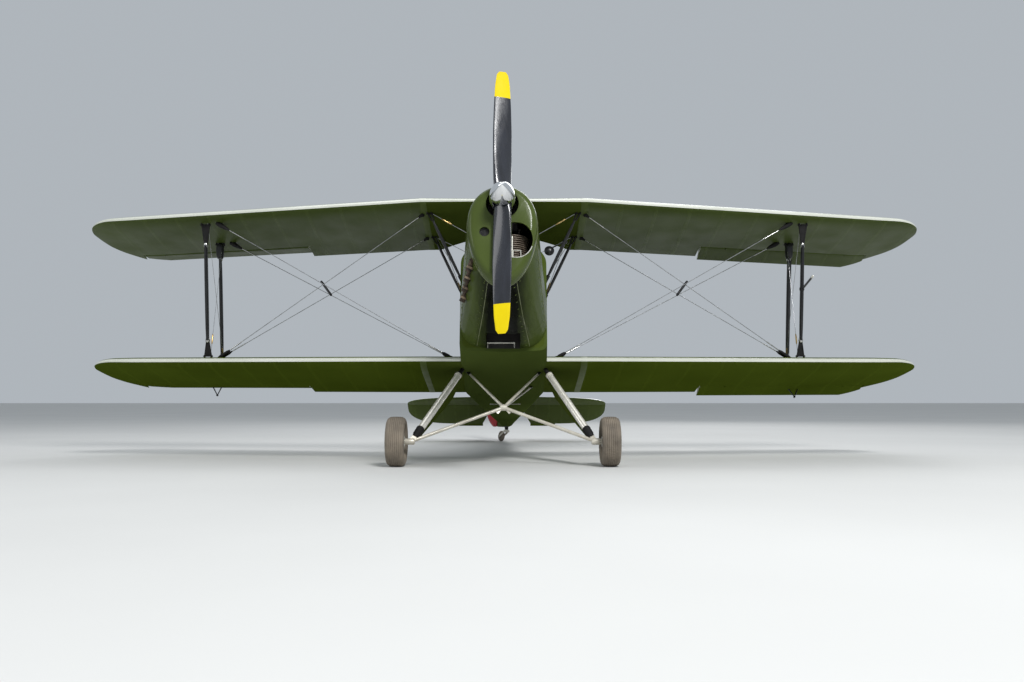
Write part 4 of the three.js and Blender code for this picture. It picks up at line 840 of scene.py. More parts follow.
def arch_ring(y, half, base, crown, inset=0.0, lift=GAP, steps=40):
    ring = []
    for angle in np.linspace(0, math.pi, steps + 1):
        cosine, sine = math.cos(angle), max(0.0, math.sin(angle))
        x = math.copysign(abs(cosine) ** (2 / ARCH_POWER), cosine) * (half - inset)
        ring.append((x, y, base + lift + sine ** (2 / ARCH_POWER) * (crown - base - inset)))
    return ring


def deck_height(x, y):
    half, base, crown = station_at(DECK_STATIONS, y)
    cosine = min(1.0, abs(x) / half) ** (ARCH_POWER / 2)
    return base + GAP + math.sqrt(1 - cosine**2) ** (2 / ARCH_POWER) * (crown - base)


def body_ring(y, half, bottom, top, wall):
    """The U-shaped section of the floor and sides, with rounded chines."""
    def path(inset):
        chine = CHINE - inset * 0.4
        flat, side = half - inset - chine, half - inset
        floor = bottom + inset
        drop = KEEL_DROP if not inset else 0.0
        points = [(side, top)]
        for angle in np.linspace(0, math.pi / 2, 7):
            points.append((flat + chine * math.cos(angle), floor + chine - chine * math.sin(angle)))
        points += [(flat * 0.5, floor - drop * 0.6), (0, floor - drop)]
        mirror_points = [(-x, z) for x, z in reversed(points[:-1])]
        return points + mirror_points

    return [(x, y, z) for x, z in path(0.0)] + [(x, y, z) for x, z in reversed(path(wall))]


def spaced(stations, steps):
    ys = [s[0] for s in stations]
    places = np.linspace(ys[0], ys[-1], steps)
    return sorted(set(round(float(y), 5) for y in [*places, *ys]))


def superellipse(angle, power):
    """The X and Y of a rounded square of half width 1 at an angle."""
    cosine, sine = math.cos(angle), math.sin(angle)
    return (math.copysign(abs(cosine) ** (2 / power), cosine),
            math.copysign(abs(sine) ** (2 / power), sine))


def cockpit_oval(cockpit, steps=64):
    middle = (cockpit["front"] + cockpit["rear"]) / 2
    length = (cockpit["rear"] - cockpit["front"]) / 2
    points = [superellipse(2 * math.pi * i / steps, OVAL_POWER) for i in range(steps)]
    return [(cockpit["half"] * x, middle + length * y) for x, y in points]


def build_body():
    tub = loft([body_ring(y, *station_at(BODY_STATIONS, y), WALL) for y in spaced(BODY_STATIONS, 12)])
    make("fuselage_tub", tub, PLYWOOD_PAINT,
         replaces=["fuselage_side_left", "fuselage_side_right", "fuselage_floor"])
    front, rear, inset = FIREWALL["front"], FIREWALL["rear"], FIREWALL["inset"]
    half, bottom, top = BODY_STATIONS[0][1:]
    wall = body_ring(front, half - inset, bottom + inset, top, WALL)[:TUB_OUTER_POINTS]
    arch = arch_ring(front, *DECK_STATIONS[0][1:], inset=FIREWALL["arch_inset"], lift=0.0)
    plates = [loft([ring, [(x, rear, z) for x, _, z in ring]]) for ring in (wall, arch)]
    make("firewall", joined(plates), SHEET_PAINT)
    rings = []
    for y in spaced(DECK_STATIONS, 16):
        row = station_at(DECK_STATIONS, y)
        rings.append(arch_ring(y, *row) + arch_ring(y, *row, inset=DECK_WALL, lift=0.0)[::-1])
    deck = make("cockpit_deck_skin", loft(rings), PLYWOOD_PAINT,
                replaces=["cockpit_deck"])
    for cockpit in (FRONT_COCKPIT, REAR_COCKPIT):
        oval = cockpit_oval(cockpit)
        carve(deck, loft([[(x, y, z) for x, y in oval] for z in OPENING_CUT]))


COAMING = {"radius": 0.017, "sink": 0.006}


def build_coamings():
    for name, cockpit in (("front", FRONT_COCKPIT), ("rear", REAR_COCKPIT)):
        path = [(x, y, deck_height(x, y) - COAMING["sink"]) for x, y in cockpit_oval(cockpit, 72)]
        make(f"coaming_{name}", rod(path, COAMING["radius"], 14, closed=True), LEATHER)


def stringered(ring, count, sag):
    """The ring's points drawn between stringers, with the fabric sagging between them."""
    ring = np.array(ring)
    last = len(ring) - 1
    knots = np.linspace(0, last, count)
    middle = ring.mean(0)
    out = []
    for i in range(last + 1):
        k = min(count - 2, int(i / last * (count - 1)))
        a, b = knots[k], knots[k + 1]
        t = (i - a) / (b - a)
        pa, pb = ring[int(round(a))], ring[int(round(b))]
        p = pa + (pb - pa) * t
        inward = (middle - p) / max(1e-6, np.linalg.norm(middle - p))
        out.append(p + inward * sag * 4 * t * (1 - t))
    return [tuple(p) for p in out]


BODY_SAG, BODY_SAG_RUN, BODY_JOINT_Y = 0.004, 0.4, 2.051
# y, half width, base, crown
HEADREST_STATIONS = [(2.0503, 0.120, 1.560, 1.760), (2.400, 0.095, 1.540, 1.700),
                     (3.000, 0.045, 1.500, 1.560)]


def rear_body_ring(y):
    """A half section from the longeron down to the keel, and its mirror image."""
    half, bottom, top = station_at(REAR_STATIONS, y)
    chine = min(CHINE, half * 0.6)
    sag = BODY_SAG * math.sin(math.pi * min(1, (y - REAR_STATIONS[0][0]) / BODY_SAG_RUN))
    side = [(half - sag * (1 - abs(1 - 2 * t)) * 0.8, top + (bottom + chine - top) * t)
            for t in np.linspace(0, 1, 7)]
    corner = [(half - chine + chine * math.cos(a), bottom + chine - chine * math.sin(a))
              for a in np.linspace(0, math.pi / 2, 6)[1:]]
    right = side + corner + [((half - chine) * 0.5, bottom - KEEL_DROP * 0.55)]
    ring = right + [(0, bottom - KEEL_DROP)] + [(-x, z) for x, z in reversed(right)]
    return [(x, y + (GAP if y < BODY_JOINT_Y else 0.0), z) for x, z in ring]


def build_rear_body():
    rear = loft([rear_body_ring(y) for y in spaced(REAR_STATIONS, 26)])
    make("rear_fuselage_skin", rear, BODY_FABRIC, replaces=["rear_fuselage"])
    arches = []
    for y in spaced(TURTLE_STATIONS, 22):
        place = y + (GAP if y < BODY_JOINT_Y else 0)
        arch = arch_ring(place, *station_at(TURTLE_STATIONS, y), steps=48)
        arches.append(stringered(arch, 9, BODY_SAG))
    head = loft([arch_ring(y, *station_at(HEADREST_STATIONS, y), steps=24)
                 for y in spaced(HEADREST_STATIONS, 12)])
    make("turtledeck_skin", loft(arches) + head, BODY_FABRIC, replaces=["turtledeck"])


# Windscreens
SCREEN = {"half": 0.150, "wing": 0.250, "side_back": 0.190, "height": 0.250, "rake": 0.120,
          "glass": 0.004, "lift": 0.002, "frame": 0.0045, "foot": 0.0065}
# How the top edge falls towards the sides: share that stays flat, drop and power
SCREEN_TOP = {"flat": 0.4, "drop": 0.42, "power": 1.6}
SCREEN_PLACES = (("front", 0.250, 1.610), ("rear", 1.185, 1.625))


def screen_path(y, t):
    """Three runs of the pane's plan at a share t of its height, left to right."""
    back, narrow = t * SCREEN["rake"], 1 - 0.12 * t
    side = (SCREEN["wing"] * narrow, y + SCREEN["side_back"] + back * 0.6)
    front = (SCREEN["half"] * narrow, y + back)
    corners = [(-side[0], side[1]), (-front[0], front[1]), front, side]
    points = []
    for (ax, ay), (bx, by) in zip(corners, corners[1:]):
        for s in np.linspace(0, 1, 8, endpoint=False):
            points.append((ax + (bx - ax) * s, ay + (by - ay) * s))
    return points + [corners[-1]]


def screen_grid(y, base):
    """Columns of points up the pane, from just above the deck to its top edge."""
    count = len(screen_path(y, 0))
    columns = []
    for i in range(count):
        z = base
        for _ in range(12):
            x, py = screen_path(y, (z - base) / SCREEN["height"])[i]
            z = deck_height(x, py) + SCREEN["lift"]
        start = (z - base) / SCREEN["height"]
        edge = abs(i - (count - 1) / 2) / ((count - 1) / 2)
        fall = max(0.0, (edge - SCREEN_TOP["flat"]) / (1 - SCREEN_TOP["flat"])) ** SCREEN_TOP["power"]
        shares = np.linspace(start, 1 - SCREEN_TOP["drop"] * fall, 7)
        columns.append([(*screen_path(y, t)[i], base + t * SCREEN["height"]) for t in shares])
    return np.array(columns)


def build_windscreens():
    for name, y, base in SCREEN_PLACES:
        grid = screen_grid(y, base)
        inner = grid + np.array([0, SCREEN["glass"], 0])
        make(f"windscreen_{name}_pane", loft([np.vstack([a, b[::-1]]) for a, b in zip(grid, inner)]),
             CLEAR_PANE, replaces=[f"windscreen_{name}"])
        corners = (0, 8, len(grid) - 9, len(grid) - 1)
        rails = [rod(grid[:, 0] + (0, 0.002, 0.004), SCREEN["foot"]),
                 rod(grid[:, -1] + (0, 0.002, 0), SCREEN["frame"])]
        posts = [rod(grid[i] + (0, 0.002, 0), SCREEN["frame"]) for i in corners]
        make(f"windscreen_{name}_frame", joined(rails + posts), BLACK_ENAMEL)


# Nose
THRUST_Z = 1.438
BOWL_JOINT_Y, BOWL_FRONT_Y = -1.120, -1.212
# y, half width, top, bottom, height of the widest place, squareness below it
COWL_STATIONS = [(BOWL_JOINT_Y, 0.246, 1.582, 0.842, 1.300, 1.9),
                 (-0.700, 0.286, 1.592, 0.752, 1.180, 2.5), (-0.125, 0.340, 1.592, 0.705, 1.000, 3.4)]
BOWL_STATIONS = [(BOWL_JOINT_Y - GAP, 0.246, 1.582, 0.842, 1.300, 1.9),
                 (-1.150, 0.2445, 1.5805, 0.845, 1.300, 1.9), (-1.175, 0.240, 1.576, 0.852, 1.300, 1.9),
                 (-1.192, 0.232, 1.568, 0.863, 1.299, 1.9), (-1.203, 0.222, 1.558, 0.876, 1.298, 1.9),
                 (-1.210, 0.209, 1.545, 0.891, 1.297, 1.9), (BOWL_FRONT_Y, 0.196, 1.532, 0.906, 1.296, 1.9)]
SMALL_INTAKE = {"x": -0.122, "z": 1.219, "radius": 0.035}
SHAFT_RECESS = {"radius": 0.114, "z": THRUST_Z - 0.008}
INTAKE = {"left": 0.062, "right": 0.212, "low": 1.030, "high": 1.290, "shoulder": 0.040, "cut": -1.140}
HIGHLIT_LIP_POINTS = 11
OUTLET = {"half": 0.130, "front": -0.420, "rear": -0.100, "low": 0.600, "high": 0.860}
COWL_WALL, COWL_REAR, TOP_POWER = 0.012, -0.1253, 2.1
SEAM = {"half": 0.004, "flat": 0.002, "height": 0.0014, "sink": 0.004}
# First and last y of the cutters of the round openings
CUT_RUN = (-1.26, -1.10)
GRILLE = {"first": -0.028, "last": 0.029, "pitch": 0.007, "radius": 0.0014, "y": -1.197}


def cowl_ring(y, half, top, bottom, widest, power, inset=0.0, steps=72):
    ring = []
    for i in range(steps):
        angle = 2 * math.pi * i / steps
        above = math.sin(angle) > 0
        x, z = superellipse(angle, TOP_POWER if above else power)
        reach = (top - inset - widest) if above else (widest - bottom - inset)
        ring.append((x * (half - inset), y, widest + z * reach))
    return ring


def cowl_at(y, inset=0.0):
    return cowl_ring(y, *station_at(COWL_STATIONS, y), inset=inset)


def intake_outline():
    """The large intake seen from the front: a straight edge, and a bow on the other side."""
    left, low, high = INTAKE["left"], INTAKE["low"], INTAKE["high"]
    middle, reach = (low + high) / 2, INTAKE["right"] - left - INTAKE["shoulder"]
    bow = [(left + INTAKE["shoulder"] + reach * math.cos(a), middle + (high - low) / 2 * math.sin(a))
           for a in np.linspace(-math.pi / 2, math.pi / 2, 25)]
    return [(left, low), *bow, (left, high)]


def nose_seam():
    """The raised band over the joint between the bowl and the cowl."""
    half, flat, sink = SEAM["half"], SEAM["flat"], -SEAM["sink"]
    rows = [(-half, 0.0), (-flat, SEAM["height"]), (flat, SEAM["height"]), (half, 0.0), (half, sink),
            (-half, sink)]
    return loft([cowl_ring(BOWL_JOINT_Y + y, *BOWL_STATIONS[0][1:], inset=-lift) for y, lift in rows],
                closed=True)


def build_nose():
    ys = np.linspace(BOWL_JOINT_Y, COWL_REAR, 18)
    cowl = make("engine_cowl_skin", loft([cowl_at(y) for y in ys]), COWL_PAINT,
                replaces=["engine_cowl"])
    hollow = loft([cowl_at(y, COWL_WALL) for y in [BOWL_JOINT_Y - 0.01, *ys[1:-1], -0.115]])
    outlet = box_shape(-OUTLET["half"], OUTLET["half"], OUTLET["front"], OUTLET["rear"], OUTLET["low"],
                       OUTLET["high"])
    carve(cowl, hollow, outlet)
    bowl = make("nose_bowl_skin", loft([cowl_ring(*s) for s in BOWL_STATIONS]), PANEL_PAINT,
                replaces=["nose_bowl"])
    inside = loft([cowl_ring(y, *BOWL_STATIONS[row][1:], inset=COWL_WALL + more)
                   for y, row, more in ((BOWL_JOINT_Y + 0.010, 0, 0), (-1.170, 2, 0), (-1.192, 4, 0.006))])
    intake = loft([[(x, y, z) for x, z in intake_outline()] for y in (BOWL_FRONT_Y - 0.06, INTAKE["cut"])])
    rounds = [tube(*[(x, y, z) for y in CUT_RUN], radius, sides=sides) for x, z, radius, sides in
              ((SMALL_INTAKE["x"], SMALL_INTAKE["z"], SMALL_INTAKE["radius"], 32),
               (0, SHAFT_RECESS["z"], SHAFT_RECESS["radius"], 64))]
    carve(bowl, inside, intake, *rounds)
    make("nose_seam", nose_seam(), HINGE_PAINT)
    # The bright metal on the lower lip of the large intake is a painted highlight; the rest of the rim is
    # olive.
    rim = [(x, BOWL_FRONT_Y - 0.001, z) for x, z in intake_outline()]
    lip, rest = rod(rim[:HIGHLIT_LIP_POINTS], 0.0035, 8), rod(rim[HIGHLIT_LIP_POINTS - 1:] + rim[:1], 0.0030, 8)
    make("intake_rim", lip + rest.marked(1), [EDGE_METAL, STRIP_PAINT])
    build_small_intake_mesh()
    build_cowl_lines()


def build_small_intake_mesh():
    """A grille of fine ribs inside the small round intake."""
    x, z, reach, y = SMALL_INTAKE["x"], SMALL_INTAKE["z"], SMALL_INTAKE["radius"], GRILLE["y"]
    bars = []
    for offset in np.arange(GRILLE["first"], GRILLE["last"], GRILLE["pitch"]):
        half = math.sqrt(max(0.0, (reach + 0.004) ** 2 - offset**2))
        bars.append(tube((x + offset, y, z - half), (x + offset, y, z + half), GRILLE["radius"], sides=8))
    rows = [(-0.003, reach), (-0.003, reach + 0.004), (0.003, reach + 0.004), (0.003, reach)]
    ring = turned_rows(rows, (x, -1.194, z), (0, 1, 0), 32, closed=True)
    # The black disc behind the grille is painted shade: it darkens the inside of the intake.
    back = tube((x, -1.186, z), (x, -1.183, z), reach + 0.008, sides=32)
    make("small_intake_grille", joined(bars) + ring + back.marked(1), [BLACK_ENAMEL, ENGINE_BLACK])


# The hinge lines of the cowl: angles round its section, and the fasteners beside them
COWL_LINES = {"start": -1.112, "end": -0.132, "angles": (38, 142, -14, 194, -66, -114)}
COWL_FASTENERS = {"count": 11, "inset": 0.035, "beside": 5, "radius": 0.0065}
BOWL_FASTENERS = {"behind": 0.022, "step": 20, "radius": 0.006}


def cowl_point(y, angle, lift=0.0):
    return Vector(cowl_at(y, -lift)[round(angle / 5) % 72])


def cowl_fastener(y, angle, radius):
    place = cowl_point(y, angle)
    out = (cowl_point(y, angle, 0.02) - place).normalized()
    return turned_rows([(-0.001, radius), (0.0014, radius), (0.0024, radius - 0.002)], place, out, 14)


def build_cowl_lines():
    start, end, inset = COWL_LINES["start"], COWL_LINES["end"], COWL_FASTENERS["inset"]
    lines, heads = [], []
    for angle in COWL_LINES["angles"]:
        lines.append(rod([cowl_point(y, angle, 0.0004) for y in np.linspace(start, end, 16)], 0.0022, 8))
        for y in np.linspace(start + inset, end - inset, COWL_FASTENERS["count"]):
            heads.append(cowl_fastener(y, angle - COWL_FASTENERS["beside"], COWL_FASTENERS["radius"]))
    for angle in range(0, 360, BOWL_FASTENERS["step"]):
        heads.append(cowl_fastener(BOWL_JOINT_Y + BOWL_FASTENERS["behind"], angle,
                                   BOWL_FASTENERS["radius"]))
    make("cowl_hinge_lines", joined(lines), HINGE_PAINT)
    make("cowl_fasteners", joined(heads), STRIP_PAINT)


# The silver bar across the outlet under the cowl
OUTLET_BAR = {"left": 0.091, "right": -0.126, "y": -0.136, "z": 0.748, "legs": (0.086, -0.121)}


def build_outlet_bar():
    y, z = OUTLET_BAR["y"], OUTLET_BAR["z"]
    bar = tube((OUTLET_BAR["right"], y, z), (OUTLET_BAR["left"], y, z), 0.006, sides=14)
    legs = [tube((x, y, z), (x, y + 0.002, z - 0.040), 0.004, sides=12) for x in OUTLET_BAR["legs"]]
    # The black plate behind the outlet is painted shade: it darkens the inside of the opening.
    back = box_shape(-OUTLET["half"], OUTLET["half"], -0.1290, -0.1252, 0.704, 0.880)
    make("outlet_bar", bar + joined(legs) + back.marked(1), [EDGE_METAL, ENGINE_BLACK])


# Engine
ENGINE = {"half": 0.105, "front": -1.060, "rear": -0.330, "low": 1.300, "high": 1.500}
# Place along the cylinder and radius of its fins
CYLINDER = {"x": 0.078, "top": 1.250, "first": 0.022, "pitch": 0.0155, "fins": 15, "core": 0.066,
            "fin": 0.106, "thickness": 0.0035, "length": 0.290}
CYLINDER_PLACES = (-1.030, -0.800, -0.620, -0.440)
# What shows through the large intake beside the cylinders
INTAKE_BAR = {"x": 0.067, "y": -1.150, "low": 1.045, "high": 1.212, "width": 0.010, "baffle": 0.060,
              "thickness": 0.004}
INTAKE_FRAME = {"x": 0.101, "z": 1.079, "half": 0.026, "radius": 0.0035}


def build_engine():
    half, core = ENGINE["half"], CYLINDER["core"]
    crankcase = box_shape(-half, half, ENGINE["front"] + 0.02, ENGINE["rear"], ENGINE["low"],
                          ENGINE["high"])
    fins = [(0, core * 0.9)]
    for i in range(CYLINDER["fins"]):
        z = CYLINDER["first"] + i * CYLINDER["pitch"]
        far = z + CYLINDER["thickness"]
        fins += [(z, core), (z, CYLINDER["fin"]), (far, CYLINDER["fin"]), (far, core)]
    fins += [(CYLINDER["length"], core)]
    shapes = [crankcase.marked(1)]
    for y in CYLINDER_PLACES:
        shapes += [turned_rows(fins, (CYLINDER["x"], y, CYLINDER["top"]), (0, 0, -1), 44).marked(2),
                   box_shape(-0.040, 0.110, y - 0.060, y + 0.060, 0.930, 0.985),
                   tube((0.105, y - 0.030, 1.215), (0.150, y - 0.030, 1.240), 0.009, sides=14),
                   tube((0.118, y, 0.990), (0.118, y, 1.310), 0.008, sides=14)]
    for x in (-half, half):
        shapes.append(box_shape(x - 0.020, x + 0.020, ENGINE["rear"] - 0.05, COWL_REAR, 1.180, 1.230))
    make("engine", joined(shapes), [CAST_METAL, ENGINE_BLACK, ENGINE_TAN],
         replaces=["engine_block"])


def build_intake_baffle():
    """A bright strip, a dark plate beside it and a square frame, just inside the large intake."""
    edge, y = INTAKE_BAR["width"] / 2, INTAKE_BAR["y"]
    left, right = INTAKE_BAR["x"] - edge, INTAKE_BAR["x"] + edge
    span = (y, y + INTAKE_BAR["thickness"], INTAKE_BAR["low"], INTAKE_BAR["high"])
    strip = box_shape(left, right, *span)
    baffle = box_shape(INTAKE_BAR["x"] - INTAKE_BAR["baffle"], left, *span)
    x, z, half = INTAKE_FRAME["x"], INTAKE_FRAME["z"], INTAKE_FRAME["half"]
    corners = [(x - half, y, z - half), (x + half, y, z - half), (x + half, y, z + half),
               (x - half, y, z + half)]
    square = [tube(a, b, INTAKE_FRAME["radius"], sides=8) for a, b in zip(corners, corners[1:] + corners[:1])]
    make("intake_baffle", strip + baffle.marked(1) + joined(square), [EDGE_METAL, ENGINE_BLACK])


# Propeller and spinner
PROPELLER_Y = -1.290
# distance from the hub, chord, thickness, angle in degrees
BLADE = [(0.0, 0.118, 0.078, 42), (0.110, 0.150, 0.056, 38), (0.300, 0.148, 0.030, 30),
         (0.500, 0.141, 0.020, 23), (0.700, 0.126, 0.014, 18), (0.860, 0.108, 0.009, 15),
         (0.950, 0.084, 0.006, 14), (0.975, 0.050, 0.004, 14)]
YELLOW_FROM = 0.768
YELLOW_END = (0.950, 0.960, 0.968, 0.973, 0.975)
SPINNER = {"radius": 0.094, "back": -1.236, "tip": -1.500, "rim": 0.006, "cone": 0.090}
SPINNER_SLOT = {"half": 0.066, "ahead": 0.058, "behind": 0.010, "reach": 0.2, "clearance": 0.003}
HUB = {"radius": 0.062, "back": -1.232, "front": -1.345}


def blade_ring(r, points=28):
    chord, thick, pitch = station_at(BLADE, r)
    angle = math.radians(pitch)
    ring = []
    for i in range(points):
        turn = 2 * math.pi * i / points
        across = chord / 2 * math.cos(turn)
        through = thick / 2 * math.sin(turn)
        ring.append((across * math.cos(angle) + through * math.sin(angle),
                     across * math.sin(angle) - through * math.cos(angle), r))
    return ring


def thrust_tube(start, end, radius, sides):
    """A round body on the propeller's axis."""
    return tube((0, start, THRUST_Z), (0, end, THRUST_Z), radius, sides=sides)


def build_propeller():
    bright = [YELLOW_FROM, *np.linspace(0.79, 0.940, 9), *YELLOW_END]
    blade = loft([blade_ring(r) for r in np.linspace(0.0, YELLOW_FROM, 26)])
    blade = blade + loft([blade_ring(r) for r in bright]).marked(1)
    place = Matrix.Translation((0, PROPELLER_Y, THRUST_Z))
    blades = [blade.turned(place @ Matrix.Rotation(turn, 4, "Y")) for turn in (0, math.pi)]
    make("propeller_blades", joined(blades), [PROPELLER_BLACK, PROPELLER_YELLOW], "propeller",
         ["propeller"])
    back, radius = SPINNER["back"], SPINNER["radius"]
    hub = thrust_tube(HUB["back"], HUB["front"], HUB["radius"], 48)
    plate_back = thrust_tube(HUB["back"], back + GAP, radius - SPINNER["rim"], 64)
    shaft = thrust_tube(ENGINE["front"] - GAP, HUB["back"] - 0.005, 0.032, 32)
    make("propeller_hub", hub + plate_back + shaft, BRIGHT_STEEL, "propeller")
    rows = [(back, 0.0), (back, radius), (back - SPINNER["rim"], radius)]
    for t in np.linspace(0, 1, 22):
        rows.append((PROPELLER_Y + (SPINNER["tip"] - PROPELLER_Y) * t,
                     SPINNER["cone"] * (1 - t ** 1.85) ** 0.72 if t < 1 else 0.0))
    shell = make("spinner_shell", turned_rows(rows, (0, 0, THRUST_Z), (0, 1, 0), 72), POLISHED,
                 "propeller", ["spinner"])
    half, reach = SPINNER_SLOT["half"], SPINNER_SLOT["reach"]
    slot = box_shape(-half, half, PROPELLER_Y - SPINNER_SLOT["ahead"], back + SPINNER_SLOT["behind"],
                     THRUST_Z - reach, THRUST_Z + reach)
    core = thrust_tube(back + 0.01, HUB["front"] - 0.004, HUB["radius"] + SPINNER_SLOT["clearance"], 48)
    carve(shell, slot, core)


# Exhaust stubs on the lower right of the cowl
EXHAUST = {"count": 4, "radius": 0.022, "length": 0.060, "sides": 28, "burnt": (2, 4),
           "flange": (0.056, 0.026)}
EXHAUST_ENDS = Vector((-0.215, -1.050, 1.045)), Vector((-0.277, -0.630, 0.972))
STUB_AIM = Vector((-0.4, 0.3, -0.866))


def pipe_rows(length):
    """An open pipe with a collar half way along."""
    outer, inner, near, far = EXHAUST["radius"], EXHAUST["radius"] - 0.004, length * 0.35, length * 0.6
    collar = outer + 0.003
    return [(-0.02, outer), (near, outer), (near, collar), (far, collar), (far, outer), (length, outer),
            (length + 0.002, outer - 0.002), (length, inner), (0.02, inner), (0.019, 0.0)]


def build_exhaust():
    def seat(t):
        return EXHAUST_ENDS[0].lerp(EXHAUST_ENDS[1], t)

    cowl = loft([cowl_at(y, -GAP) for y in np.linspace(BOWL_JOINT_Y, -0.125, 12)])
    strip = make("exhaust_flange", faired(seat(-0.14), seat(1.14), *EXHAUST["flange"]), SOOTY_STEEL,
                 replaces=["exhaust_stubs"])
    carve(strip, cowl)
    sides = EXHAUST["sides"]
    for i in range(EXHAUST["count"]):
        root = seat(i / (EXHAUST["count"] - 1))
        mouth = root + STUB_AIM * EXHAUST["length"]
        pipe = turned_rows(pipe_rows((mouth - root).length), root, STUB_AIM.normalized(), sides)
        for face in range(EXHAUST["burnt"][0] * sides, EXHAUST["burnt"][1] * sides):
            pipe.marks[face] = 1
        carve(make(f"exhaust_pipe_{i + 1}", pipe, [SOOTY_STEEL, BURNT_STEEL]), cowl)


# Undercarriage
WHEEL = {"radius": 0.190, "width": 0.146, "x": 0.817}
LEG_TOP, LEG_BOTTOM = Vector((0.325, 0.425, 0.715)), Vector((0.690, 0.0, 0.016))
APEX = Vector((0, 0.230, 0.320))
KNUCKLE = Vector((0.708, 0, 0))
PYRAMID_FEET = [(0.314, 0.477, 0.693), (-0.314, 0.477, 0.693), (0.250, 0.980, 0.690)]
TYRE_PROFILE = [(-0.3, 0.57), (-0.40, 0.61), (-0.46, 0.68), (-0.5, 0.79), (-0.485, 0.86), (-0.44, 0.925),
                (-0.36, 0.965)]
TREAD_RIBS = 7


def tyre_rows():
    rows = [(a * WHEEL["width"], r * WHEEL["radius"]) for a, r in TYRE_PROFILE]
    start, end = -0.34, 0.34
    pitch = (end - start) / TREAD_RIBS
    for i in range(TREAD_RIBS):
        for offset, depth in ((0.0, 0.0045), (0.16, 0.0), (0.84, 0.0), (1.0, 0.0045)):
            across = start + pitch * (i + offset)
            crown = WHEEL["radius"] * (1 - 0.145 * abs(across) ** 2.0)
            rows.append((across * WHEEL["width"], crown - depth))
    rows += [(-a * WHEEL["width"], r * WHEEL["radius"]) for a, r in reversed(TYRE_PROFILE)]
    return rows


RIM_HALF = [(0.026, -0.018), (0.030, -0.013), (0.0495, -0.007), (0.0495, 0)]
HUB_HALF = [(0.062, 0.016), (0.062, 0.040), (0.058, 0.044), (0.034, 0.047), (0.030, 0.060)]
RIM_BOLTS = {"count": 6, "out": 0.078, "face": 0.029}


def build_wheels():
    lip = 0.57 * WHEEL["radius"] - GAP
    outer = HUB_HALF + [(x, lip + rise) for x, rise in RIM_HALF]
    rim_rows = [(-x, r) for x, r in outer] + outer[::-1]
    for side, sign in SIDES:
        centre, axis, body = (sign * WHEEL["x"], 0, 0), (1, 0, 0), f"wheel_{side}"
        tyre = turned_rows(tyre_rows(), centre, axis, 96, closed=True)
        make(f"tyre_{side}_rubber", tyre, TYRE_RUBBER, body, [f"tyre_{side}"])
        rim = turned_rows(rim_rows, centre, axis, 72, closed=True)
        bolts = []
        for k in range(RIM_BOLTS["count"]):
            angle = 2 * math.pi * k / RIM_BOLTS["count"]
            for face in (-1, 1):
                place = (centre[0] + face * RIM_BOLTS["face"], RIM_BOLTS["out"] * math.cos(angle),
                         RIM_BOLTS["out"] * math.sin(angle))
                bolts.append(hexagon_bolt(place, (face, 0, 0)))
        make(f"rim_{side}_disc", rim + joined(bolts), RIM_PAINT, body, [f"rim_{side}"])


# Share down the leg and chord of its fairing
FAIRING = [(0.06, 0.150), (0.18, 0.300), (0.30, 0.390), (0.50, 0.335), (0.72, 0.255), (0.93, 0.175)]
# Share down the leg and radius of the boot over its foot
LEG_BOOT = [(0.855, 0.0290), (0.862, 0.0325), (0.880, 0.0330), (0.893, 0.0300), (0.906, 0.0325),
            (0.919, 0.0290), (0.932, 0.0310), (0.95, 0.026), (0.97, 0.023)]
# First and last share down the leg, both radii and the sides of the thin top, the tube and its collar
LEG_TUBES = {"slim": (0, 0.16, 0.015, 0.019, 24), "tube": (0.13, 0.88, 0.0262, 0.0285, 28),
             "collar": (0.125, 0.145, 0.0295, 0.0295, 28)}
AXLE_RADIUS = 0.015


def leg_fairing():
    run = LEG_BOTTOM - LEG_TOP
    rings = []
    for t, chord in FAIRING:
        centre = LEG_TOP + run * t
        rings.append([centre + Vector((side * (0.017 * (1 - s) ** 0.6 + 0.0015), chord * s, 0))
                      for side in (1, -1) for s in np.linspace(0, 1, 13)[::side]])
    return loft(rings)


